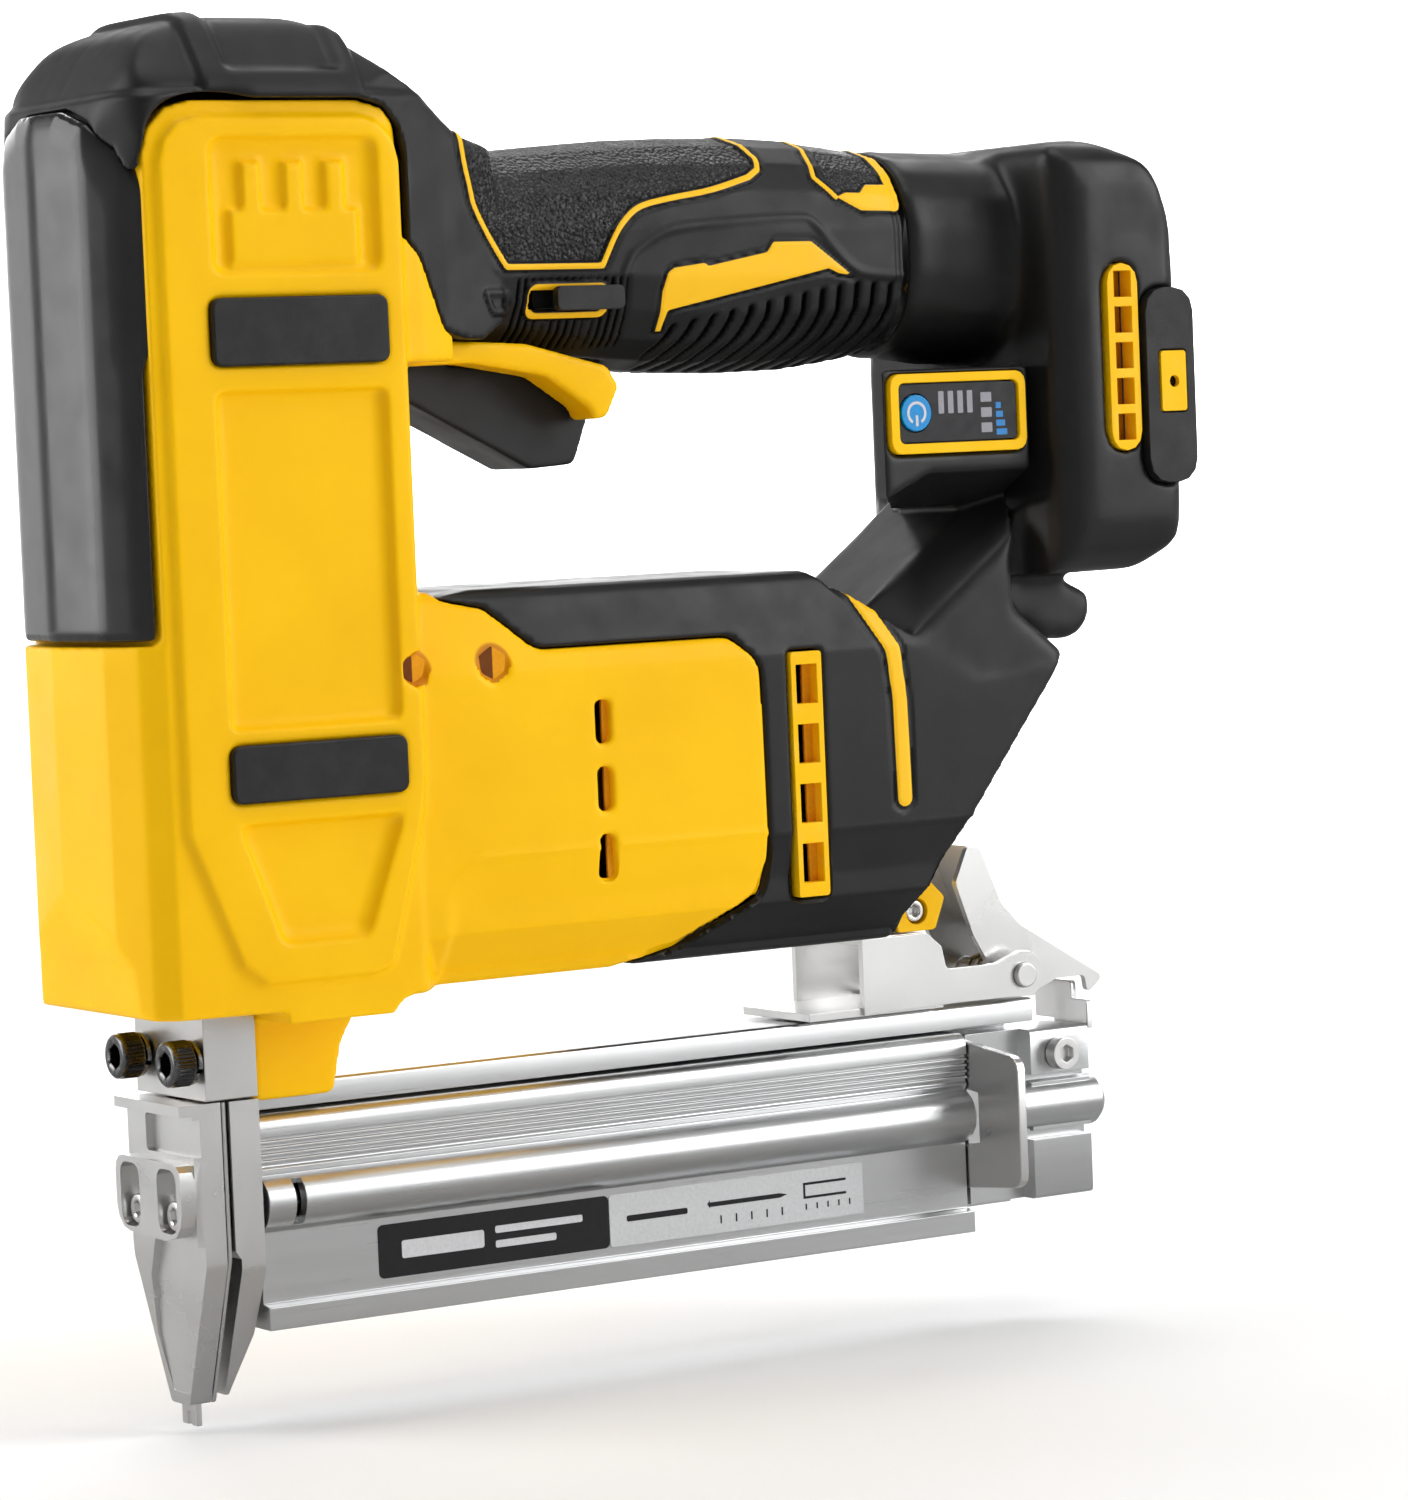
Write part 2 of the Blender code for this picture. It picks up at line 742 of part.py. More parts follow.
def rear_shells():
    """The black halves behind and above the motor, with the neck and control box."""
    housing = common(prism(motor_rear_side(), "Y", -FAR, FAR), prism(motor_section(), "X", 40, 200))
    neck = common(prism(neck_side(), "Y", -FAR, FAR), ramp())
    left = left_half(join(housing, neck))
    space = common(
        prism(grown(motor_rear_side(), -WALL), "Y", -FAR, FAR),
        prism(grown(motor_section(), -WALL), "X", 40, 200),
    )
    cut(left, space, common(prism(grown(neck_side(), -WALL), "Y", -FAR, FAR), ramp(WALL)))
    cut(left, prism(grown(yellow_side(), GAP), "Y", -FAR, 5))
    cut(left, prism(rectangle(122.4, 130.4, 89.6, 138.1, 0.8), "Y", -FAR, -20))
    right = mirrored(left, "rear_shell_right", "black_plastic")
    join(right, control_box(1))
    cut(join(left, control_box(-1)), control_box(-1, WALL))
    cut(left, prism(rectangle(147.2, 180.4, 174.6, 190.9, 2.5), "Y", -FAR, -BOX_HALF + 1.6))
    finish(left, "rear_shell_left", "black_plastic")
    finish(right, "rear_shell_right", "black_plastic")


def foot_plan():
    """The battery foot from above: a wide slab behind a narrower front."""
    near = [(170, -22), (182, -22, 3), (184.5, -FOOT_HALF, 8), (FOOT_REAR + 0.5, -FOOT_HALF, 4)]
    return both_sides(near, sign_first=False)


def foot_shells():
    """The battery foot's two halves with a forward reach that meets the handle."""
    end = both_sides([(-FOOT_HALF, FOOT_LOW - 2, 12), (-FOOT_HALF, FOOT_TOP, 9)])
    left = common(
        prism(foot_side(), "Y", -FAR, -SEAM),
        prism(foot_plan(), "Z", 140, 240),
        prism(end, "X", 165, 220),
    )
    join(left, prism(lug_side(), "Y", -19, -SEAM))
    join(left, common(box(150, 187, -FAR, -SEAM, 180, 250), grip(REACH_STATIONS)))
    space = common(
        prism(grown(foot_side(), -WALL), "Y", -FAR, 5),
        prism(grown(foot_plan(), -WALL), "Z", 140, 240),
        prism(grown(end, -WALL), "X", 165, 220),
    )
    passage = grip([(x + 3 * sign, *rest) for sign, (x, *rest) in zip((-1, 0, 0, 1), REACH_STATIONS)], WALL)
    cut(left, space, passage, box(204.6, 220, -25, 5, 160, 250))
    cut(left, prism(rectangle(194.6, 202.9, 173.4, 211.4, 4.1), "Y", -FAR, -FOOT_HALF + 8))
    cut(left, prism(rectangle(203.2, 216, 166.7, 206.3, 5), "Y", -FAR, -FOOT_HALF + 1.4))
    cut(left, prism(grown(neck_side(), GAP), "Y", -FAR, 5), box(140, 181.8, -FAR, 5, 166, 191.9))
    finish(left, "foot_shell_left", "black_plastic")
    mirrored(left, "foot_shell_right", "black_plastic")


# ---------------------------------------------------------------- trims on the housings


def grille(outline, windows, y_low, y_high):
    """A vent strip: an outline with windows through it."""
    return prism(outline, "Y", y_low, y_high, windows)


def vents():
    """Yellow vent strips in the motor housing and in the foot, on both sides."""
    windows = [rectangle(124, 128.8, low, low + 7.6) for low in (92.8, 104.4, 116, 127.6)]
    strip = grille(rectangle(122.8, 130, 90, 137.7, 0.6), windows, -MOTOR_HALF - 0.5, -MOTOR_HALF + 2.4)
    finish(strip, "motor_vent_left", "yellow_plastic")
    mirrored(strip, "motor_vent_right", "yellow_plastic")
    pitch, low = 7.1, 175.9
    slots = [rectangle(196.7, 200.9, low + pitch * k, low + pitch * k + 5.2) for k in range(5)]
    strip = grille(rectangle(195, 202.5, 173.8, 211, 3.7), slots, -FOOT_HALF - 0.7, -FOOT_HALF + 3)
    finish(strip, "foot_vent_left", "yellow_plastic")
    mirrored(strip, "foot_vent_right", "yellow_plastic")


def hook_seats():
    """Rubber pads with a threaded insert where a belt hook screws on, on both sides."""
    pad = prism(rectangle(203.5, 215.5, 167, 206, 4.7), "Y", -FOOT_HALF - 1.7, -FOOT_HALF + 1.1)
    cut(pad, prism(rectangle(206.5, 213.3, 181, 193.6, 0.8), "Y", -FAR, -FOOT_HALF - 0.5))
    finish(pad, "hook_pad_left", "black_rubber")
    mirrored(pad, "hook_pad_right", "black_rubber")
    plate = rectangle(206.8, 213, 181.3, 193.3, 0.6)
    insert = prism(plate, "Y", -FOOT_HALF - 2, -FOOT_HALF - 0.8, [circle((210, 187.2), 1.2, 16)])
    finish(insert, "hook_nut_left", "yellow_plastic")
    mirrored(insert, "hook_nut_right", "yellow_plastic")


def control_panel():
    """Bezel, panel face and power button on the neck."""
    outer = rectangle(147.5, 180.1, 174.9, 190.6, 2.3)
    inner = rectangle(149.5, 178.3, 176.9, 188.8, 1.2)
    bezel = prism(outer, "Y", -BOX_HALF - 0.9, -BOX_HALF + 1.3, [inner])
    finish(bezel, "control_bezel", "yellow_plastic")
    face = prism(grown(inner, -GAP), "Y", -BOX_HALF - 0.3, -BOX_HALF + 1.3)
    cut(face, cylinder((153.6, -FAR, 182.9), (153.6, -BOX_HALF + 0.9, 182.9), 3.9, sides=20))
    finish(face, "control_panel", "label_plastic")
    button = cylinder((153.6, -BOX_HALF - 0.8, 182.9), (153.6, -BOX_HALF + 0.05, 182.9), 3.6, sides=20)
    finish(button, "power_button", "blue_button")


def battery_shoe():
    """Rails and contacts that the battery pack slides onto, seen from above as one outline."""
    near = [
        (205.0, -24.6),
        (207.4, -24.6),
        (207.4, -19),
        (209.6, -19),
        (209.6, -22.5),
        (212.6, -22.5),
        (212.6, -15.5),
        (207.4, -15.5),
    ]
    outline = near + [(p[0], -p[1]) for p in reversed(near)]
    shoe = prism(outline, "Z", 160.4, 222)
    for y in (-9, -3, 3, 9):
        join(shoe, box(206.8, 212, y - 0.5, y + 0.5, 164, 190))
    finish(shoe, "battery_shoe", "black_plastic")


def control_board():
    """The circuit board behind the control panel."""
    board = box(154, 178.4, -23.4, -21.8, 174.6, 188.6)
    parts = ((159, 164, 176, 182), (165.5, 170, 177, 187), (172, 176.5, 176, 184))
    for x0, x1, z0, z1 in parts:
        join(board, box(x0, x1, -22, -19.4, z0, z1))
    finish(board, "control_board", "label_plastic")


def trigger_group():
    """Trigger on its hinge, the switch it presses and the lock slider above it."""
    x, z = TRIGGER_PIVOT
    side = [(49, 191), (49, z + 3, 2), (55, z + 3, 2), (60, 195.6), (80, 193.6), (88, 191.2)]
    side += [(91.4, 186, 1.5), (87.4, 175.8, 1.6), (77.6, 175.2, 2), (49, 190)]
    trigger = prism(side, "Y", -TRIGGER_HALF, TRIGGER_HALF)
    cut(trigger, cylinder((x, -FAR, z), (x, FAR, z), 1.6, sides=16))
    finish(trigger, "trigger", "black_plastic")
    hinge_here(trigger, x, z)
    switch = box(66, 88, -6.5, 6.5, 206.5, 221)
    join(switch, box(70, 76, -3, 3, 203.6, 207), box(84, 87, -4, 4, 220.5, 224))
    finish(switch, "trigger_switch", "label_plastic")
    knob = prism(rectangle(77, 92, SLIDER_Z - 2.3, SLIDER_Z + 2.3, 1.2), "Y", -21.4, -19.5)
    join(
        knob,
        box(79.5, 84.5, -20, -13, SLIDER_Z - 1.4, SLIDER_Z + 1.4),
        box(76, 88, -13.7, -12.4, SLIDER_Z - 1.7, SLIDER_Z + 3),
    )
    finish(knob, "lock_slider", "black_plastic")


# ---------------------------------------------------------------- drive


def motor():
    """Stator and rotor with its cooling fan."""
    axis = (0, AXLE_Z)
    stator = prism(circle(axis, 22), "X", 70, 106, [circle(axis, 13.2)])
    finish(stator, "motor_stator", "motor_steel")
    rotor = cylinder((64, 0, AXLE_Z), (136, 0, AXLE_Z), 2.5, sides=12)
    hub = cylinder((72, 0, AXLE_Z), (104, 0, AXLE_Z), 12.4, sides=24)
    fan = cylinder((132, 0, AXLE_Z), (134, 0, AXLE_Z), 21, sides=24)
    join(rotor, hub, fan)
    blades = 9
    for k in range(blades):
        blade = box(121, 132.5, -0.7, 0.7, 2, 20)
        turn = Matrix.Rotation(2 * math.pi * k / blades, 4, "X")
        blade.data.transform(Matrix.Translation((0, 0, AXLE_Z * MM)) @ turn)
        join(rotor, blade)
    finish(rotor, "motor_rotor", "motor_steel")


def gearbox():
    """Reduction gearbox between motor and lifter."""
    body = cylinder((45.6, 0, AXLE_Z), (65.4, 0, AXLE_Z), 21.5, sides=28)
    cut(
        body,
        cylinder((62, 0, AXLE_Z), (70, 0, AXLE_Z), 4, sides=20),
        cylinder((40, 0, AXLE_Z), (50.5, 0, AXLE_Z), 4.4, sides=20),
    )
    finish(body, "gearbox", "motor_steel")


def lifter():
    """Wheel whose pins lift the driver by its rack."""
    wheel = cylinder((37, 0, AXLE_Z), (40.4, 0, AXLE_Z), 14.2, sides=32)
    join(wheel, cylinder((40, 0, AXLE_Z), (50, 0, AXLE_Z), 4, sides=20))
    for k in range(PIN_COUNT):
        angle = 2 * math.pi * (k + 0.5) / PIN_COUNT
        y, z = PIN_CIRCLE * math.cos(angle), AXLE_Z + PIN_CIRCLE * math.sin(angle)
        join(wheel, cylinder((30.5, y, z), (37.5, y, z), 1.5, sides=8))
    finish(wheel, "lifter_wheel", "black_steel")


def driver():
    """Driver blade with the plate the mainspring pushes and the rack the lifter pulls."""
    plate = prism(
        [(-5.5, -15, 5), (27, -15, 8), (27, 13.8), (36.4, 13.8), (36.4, 18.4), (24, 18.4), (-5.5, 15, 5)],
        "Z",
        97.2,
        103,
    )
    blade = box(DRIVE_X - 0.5, DRIVE_X + 0.5, -2.6, 2.6, 6, 98)
    rack = box(30.9, 36.1, 14.0, 18.1, 84, 121)
    join(plate, blade, rack)
    pitch = 2 * math.pi * PIN_CIRCLE / PIN_COUNT
    for k in range(4):
        z = AXLE_Z - pitch * k
        join(plate, box(31.2, 35.8, 10.2, 14.6, z - 1.4, z + 1.4))
    finish(plate, "driver", "black_steel")


def mainspring():
    """The spring that drives the nail, its seat at the top and the bumper below."""
    coil = helix((SPRING_X, 0), "Z", SPRING_LOW + 1.9, SPRING_HIGH - 1.9, 13.5, 9, 9)
    finish(wire(coil, 1.9, "mainspring"), "mainspring", "spring_steel")
    seat = cylinder((SPRING_X, 0, SPRING_HIGH + GAP), (SPRING_X, 0, 239), 16.5, sides=28)
    join(seat, cylinder((SPRING_X, 0, 226), (SPRING_X, 0, 237), 10.6, sides=20))
    finish(seat, "spring_seat", "black_plastic")
    bumper = prism(
        rectangle(-6, 20, -12, 12, 4), "Z", 90.6, 96.8, [rectangle(DRIVE_X - 1, DRIVE_X + 1, -3.2, 3.2)]
    )
    finish(bumper, "bumper", "black_rubber")


# ---------------------------------------------------------------- nose


def nose_block():
    """Steel block that carries the nose under the housing."""
    block = box(-1.5, 9.4, -NOSE_HALF, NOSE_HALF, 61.8, 77.8)
    join(block, box(-1, 7.6, -9, 9, 77, 90.2))
    cut(block, box(DRIVE_X - 0.8, DRIVE_X + 0.8, -2.9, 2.9, 50, 100))
    for y in (-BOLT_Y, BOLT_Y):
        cut(block, cylinder((-5, y, BOLT_Z), (7, y, BOLT_Z), 2.8, sides=20))
    finish(block, "nose_block", "nickel")
    for word, y in (("left", -BOLT_Y), ("right", BOLT_Y)):
        bolt = socket_screw(6, -7.8, (y, BOLT_Z), 4.4, 2.5, 5.0, washer=1.0)
        finish(bolt, f"nose_bolt_{word}", "black_steel")


def nose_front(half_top, half_tip, top, knee, tip):
    """The nose from the front: parallel above the knee, tapered to the tip."""
    near = [(-half_top, top), (-half_top, knee, 4), (-half_tip, tip, 0.8)]
    return near + [(-p[0], *p[1:]) for p in reversed(near)]


def nose_plates():
    """Base plate and thin guide plate behind the driver channel, with the nail window."""
    front = nose_front(NOSE_HALF, 4.2, 61.4, 30, 4.6)
    side = [(4.4, 5.5), (5.2, 5.5), (8.8, 17), (9.4, 28, 3), (9.4, 61.4)]
    side += [(3.3, 61.4), (3.3, 33.5), (4.4, 32)]
    base = common(prism(front, "X", 0, 12), prism(side, "Y", -FAR, FAR))
    cut(base, box(0, 12, -1.1, 1.1, 21, 56))
    finish(base, "nose_base", "nickel")
    window = rectangle(-1.1, 1.1, 21, 56)
    plate = prism(nose_front(NOSE_HALF - 0.8, 3.8, 61.4, 32, 4.2), "X", 2.1, 3.0, [window])
    finish(plate, "guide_plate", "nickel")


def nose_cover():
    """Front casting with its boss, screw slots and pockets."""
    front = nose_front(13.3, 3.7, 61.4, 31, 4.2)
    side = [(1.8, 4), (-2.5, 4), (-4.2, 34), (-4.2, 59.4), (-6.8, 59.4), (-6.8, 61.4), (1.8, 61.4)]
    cover = common(prism(front, "X", -10, 3), prism(side, "Y", -FAR, FAR))
    boss = [(-13.3, 36.4, 5), (13.3, 36.4, 5), (13.3, 50.6, 3), (-13.3, 50.6, 3)]
    join(cover, prism(boss, "X", -7.2, -3))
    cut(cover, box(-1.3, 4, -3.5, 3.5, 0, 70))
    for y in (-SCREW_Y, SCREW_Y):
        slot = prism(rectangle(y - 3.9, y + 3.9, 37.4, 49.4, 2.4), "X", -10, -3.6)
        cut(cover, slot, cylinder((-8, y, SCREW_Z), (4, y, SCREW_Z), 2.1, sides=16))
    cut(cover, prism([(-20, 51.6), (5.8, 51.6, 0.8), (5.8, 58.6, 0.8), (-20, 58.6)], "X", -10, -2.6))
    lower = [(-20, 35), (4, 35), (7, 28), (6.8, 17), (2.2, 6.5, 0.8), (-20, 6.5)]
    cut(cover, prism(lower, "X", -10, -2.6))
    finish(cover, "nose_cover", "nickel")
    for word, y in (("left", -SCREW_Y), ("right", SCREW_Y)):
        screw = socket_screw(1.2, -6.0, (y, SCREW_Z), 2.9, 1.9, 2.2)
        finish(screw, f"cover_screw_{word}", "nickel")


def contact_tip():
    """Contact foot in front of the blade: pressing it on the work lets the tool fire."""
    tip = box(-0.9, 0.3, -3, 3, 0, 48)
    cut(tip, box(-2, -0.4, -0.8, 0.8, -1, 2.4))
    finish(tip, "contact_tip", "nickel")


# ---------------------------------------------------------------- magazine


def slide_section():
    """The sliding side of the magazine from its end: ribs, round bulge and bottom lip."""
    ribs = []
    for k in range(5):
        top = 54.2 - 1.2 * k
        ribs += [(-12.2, top), (-12.2, top - 0.6), (-11.5, top - 0.6), (-11.5, top - 1.2)]
    bulge = arc((-9.6, BORE_Z), 5.4, 108, 252, 10)
    bore = arc((BORE_Y, BORE_Z), 3.9, 15, 345, 14)
    return (
        [(-1, 57.9)]
        + arc((-9.6, 55.3), 2.6, 90, 180, 4)
        + ribs
        + [(-12.0, 47.6), (-11.4, 46.8)]
        + bulge
        + [(-10.6, 35.8), (-10.6, 22.4), (-13, 22), (-13, 17.7), (6, 17.7), (6, 19.6), (-1, 19.6)]
        + [(-1, 40.3)]
        + list(reversed(bore))
        + [(-1, 42.3)]
    )


def magazine():
    """Fixed rail, sliding side and the pieces at its rear end."""
    rail = [(-9, 58.5), (-9, 63.2, 0.8), (9, 63.2, 0.8), (9, 58), (11.4, 57, 1), (11.4, 24, 1)]
    rail += [(9, 20.4), (1, 20.4), (1, 58.5)]
    finish(prism(rail, "X", *RAIL_X), "magazine_rail", "aluminium")
    slide = prism(slide_section(), "X", *SLIDE_X)
    cut(slide, box(16, 18, -FAR, -11, 37, 45.6))
    finish(slide, "magazine_slide", "aluminium")
    tab = [(-29, 28, 3), (-29, 54, 3), (-6, 56.6, 1), (-6, 47), (-15, 46), (-15, 36), (-9, 35)]
    finish(prism(tab + [(-6, 26, 1)], "X", 171.3, 173.3), "pull_tab", "nickel")
    block = prism([(-12, 22.4, 1), (0.5, 22.4), (0.5, 57, 1), (-12, 57, 1)], "X", 173.6, 201.6)
    cut(block, box(170, 187, -FAR, -8, 20, 60))
    cut(block, box(173, 204, -FAR, -9.6, 34.5, 36.4), box(173, 204, -FAR, -9.6, 46.2, 47.8))
    join(block, cylinder((184, BORE_Y, BORE_Z), (203.4, BORE_Y, BORE_Z), 5.3))
    join(block, cylinder((203.2, BORE_Y, BORE_Z), (204.6, BORE_Y, BORE_Z), 5.3, 4.3))
    cut(block, cylinder((193.8, -FAR, 51.8), (193.8, -6, 51.8), 2.0, sides=16))
    finish(block, "end_block", "aluminium")
    screw = cylinder((193.8, -15.2, 51.8), (193.8, -12.2, 51.8), 3.3)
    join(screw, cylinder((193.8, -12.5, 51.8), (193.8, -7, 51.8), 1.7, sides=16))
    cut(screw, cylinder((193.8, -16, 51.8), (193.8, -13.6, 51.8), 1.8, sides=6))
    finish(screw, "end_screw", "nickel")
    catch = [(-11.6, 56), (-11.6, 61.8, 1), (-6.3, 61.8), (-6.3, 65.4, 0.8), (6.3, 65.4, 0.8)]
    catch += [(6.3, 57.4), (0, 57.4), (0, 56)]
    finish(prism(catch, "X", 201.9, 203.3), "catch_plate", "nickel")


def pusher():
    """Nail pusher that runs in the magazine channel, with its spring in the round bore."""
    plate = box(11, 30, -0.6, 0.6, 24, 53)
    plunger = cylinder((12, BORE_Y, BORE_Z), (26, BORE_Y, BORE_Z), 3.3, sides=16)
    join(plate, box(12, 24, -6.5, 0, 40.7, 41.9), plunger)
    finish(plate, "nail_pusher", "black_steel")
    coil = helix((BORE_Y, BORE_Z), "X", 27, 170, 2.7, 9, 6)
    finish(wire(coil, 0.5, "pusher_spring"), "pusher_spring", "spring_steel")


# ---------------------------------------------------------------- latch


def latch():
    """Rear bracket, release lever, its pin and torsion spring, and the boss that holds them."""
    x, z = LATCH_PIVOT
    cheek = [(146.2, 63.9), (167, 64.3), (180, 64.3, 2)] + arc((x, z), 5, -60, 120, 8)
    cheek += [(179, 71.4, 2), (166.5, 71.4, 1), (165.5, 76, 1), (162, 79, 1), (146.2, 79)]
    bracket = prism(cheek, "Y", -12.8, 12.8)
    cut(bracket, box(140, 195, -11.3, 11.3, 60, 90))
    join(
        bracket,
        box(133.5, 166, -12, 12, 63.6, 65.2),
        box(147, 161.5, -12, 12, 77.6, 79.2),
        box(162, 166, -12, 12, 63.8, 66),
    )
    cut(bracket, cylinder((x, -FAR, z), (x, FAR, z), 2.6, sides=20))
    finish(bracket, "latch_bracket", "nickel")

    outline = [(175.6, 95, 1), (178.6, 95, 1), (183.6, 83, 3), (188, 78.4, 3), (203, 69.4, 2)]
    outline += [(208.6, 66, 1), (204.4, 62.6, 0.8), (203.8, 66.6, 1), (197, 66.6, 1), (192, 64.6, 2)]
    outline += list(reversed(arc((x, z), 4.7, -170, -55, 6)))
    outline += [(179.6, 71.5, 2), (176.4, 77, 3), (172.4, 88, 2)]
    lever = prism(outline, "Y", -8.6, 8.6)
    hollow = [(176.9, 97), (182.1, 82.3), (187, 77), (202.4, 67.8), (202, 60), (165, 60), (165, 97)]
    cut(lever, prism(hollow, "Y", -7.2, 7.2), box(195, 210, -7.2, 7.2, 60, 67.4))
    cut(lever, cylinder((x, -FAR, z), (x, FAR, z), 2.7, sides=20))
    finish(lever, "latch_lever", "nickel")
    hinge_here(lever, x, z)

    pin = cylinder((x, -14, z), (x, 13.6, z), 2.5)
    finish(pin, "latch_pin", "nickel")
    coil = helix(LATCH_PIVOT, "Y", -4, 4, 3.4, 3, 8)
    leg = (x + 3, -4.4, z - 3)
    finish(wire([leg] + coil, 0.5, "latch_spring"), "latch_spring", "spring_steel")


def rear_boss():
    """The boss under the motor housing that the bracket screws to, with its screw."""
    boss = prism([(154.6, 79.6, 1), (164, 79.6, 1), (166.6, 86, 1), (160, 92.5), (156.6, 92.5)], "Y", -13, 13)
    cut(boss, prism(grown(motor_rear_side(), GAP), "Y", -FAR, FAR))
    cut(boss, cylinder((159.6, -FAR, 83.6), (159.6, -6, 83.6), 2.6, sides=16))
    finish(boss, "rear_boss", "yellow_plastic")
    screw = cylinder((159.6, -12.4, 83.6), (159.6, -7, 83.6), 2.2, sides=20)
    cut(screw, cylinder((159.6, -13, 83.6), (159.6, -11, 83.6), 1.2, sides=6))
    finish(screw, "boss_screw", "nickel")


main_shells()
side_pads()
front_guard()
upper_shells()
rear_shells()
foot_shells()
vents()
hook_seats()
control_panel()
battery_shoe()
control_board()
trigger_group()
motor()
gearbox()
lifter()
driver()
mainspring()
nose_block()
nose_plates()
nose_cover()
contact_tip()
magazine()
pusher()
latch()
rear_boss()
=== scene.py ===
"""Looks of the cordless brad nailer: moulded shells with inlays, fasteners, labels, materials,
light and camera.  Outlines and sizes are in millimetres and every mesh is written in metres.
"""

import json
import math

import bmesh
import bpy
import numpy as np
from mathutils import Matrix, Vector

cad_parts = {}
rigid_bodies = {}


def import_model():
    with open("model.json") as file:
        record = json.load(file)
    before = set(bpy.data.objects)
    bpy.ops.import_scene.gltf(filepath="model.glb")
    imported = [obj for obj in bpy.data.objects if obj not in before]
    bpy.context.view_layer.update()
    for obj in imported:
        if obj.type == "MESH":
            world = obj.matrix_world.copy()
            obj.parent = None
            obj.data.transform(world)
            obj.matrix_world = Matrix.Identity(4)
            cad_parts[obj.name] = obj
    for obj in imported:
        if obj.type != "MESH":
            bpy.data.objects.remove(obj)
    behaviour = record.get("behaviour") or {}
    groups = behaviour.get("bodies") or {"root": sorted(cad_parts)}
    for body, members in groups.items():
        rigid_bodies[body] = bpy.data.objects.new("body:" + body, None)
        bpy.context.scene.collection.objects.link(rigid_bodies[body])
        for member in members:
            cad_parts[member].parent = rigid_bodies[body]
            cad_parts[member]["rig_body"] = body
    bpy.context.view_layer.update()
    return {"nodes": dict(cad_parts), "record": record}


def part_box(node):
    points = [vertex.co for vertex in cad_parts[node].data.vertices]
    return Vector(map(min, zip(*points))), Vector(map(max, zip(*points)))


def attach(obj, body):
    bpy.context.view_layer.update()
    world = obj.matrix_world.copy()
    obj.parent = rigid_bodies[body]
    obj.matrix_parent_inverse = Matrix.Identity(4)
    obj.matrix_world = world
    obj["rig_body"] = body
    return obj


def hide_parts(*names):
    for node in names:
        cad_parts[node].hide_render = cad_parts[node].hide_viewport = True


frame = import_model()

NODES = frame["nodes"]
MM = 0.001
SIDES = (("left", 1), ("right", -1))

# Places on the tool, in millimetres
GRIP_MIDDLE = 216.0        # height of the handle's axis
CAP_BAND = (0.6, 33.4)     # raised band over the cap, along X
CAP_HOLLOW = (6.2, 29.6)   # shallower middle of that band
SEAM_REACH = 6.0           # how far a half reaches over the seam before it is cut there
FOOT_LINING = 31.4         # distance of the foot vents' lining from the middle plane
POCKET_FLOOR = 25.1        # and of the screw pockets' bottoms
LINING_THICK = 0.8
MOTOR_CREASE = 103.2       # crease low on the motor cover
MAGAZINE_FACE = -10.6      # flat face that carries the label
BOLT_Y, BOLT_Z = 10.4, 69.0
SCREW_Y, SCREW_Z = 7.5, 40.5
PANEL_FACE = -27.9         # face of the control panel

# The camera's place, aim and lens
CAMERA_AT = (-0.4451, -0.8856, 0.1803)
AZIMUTH, PITCH, ROLL = -32.5, 3.38, -2.39
FOCAL_LENGTH = 127.8


# ---------------------------------------------------------------- materials


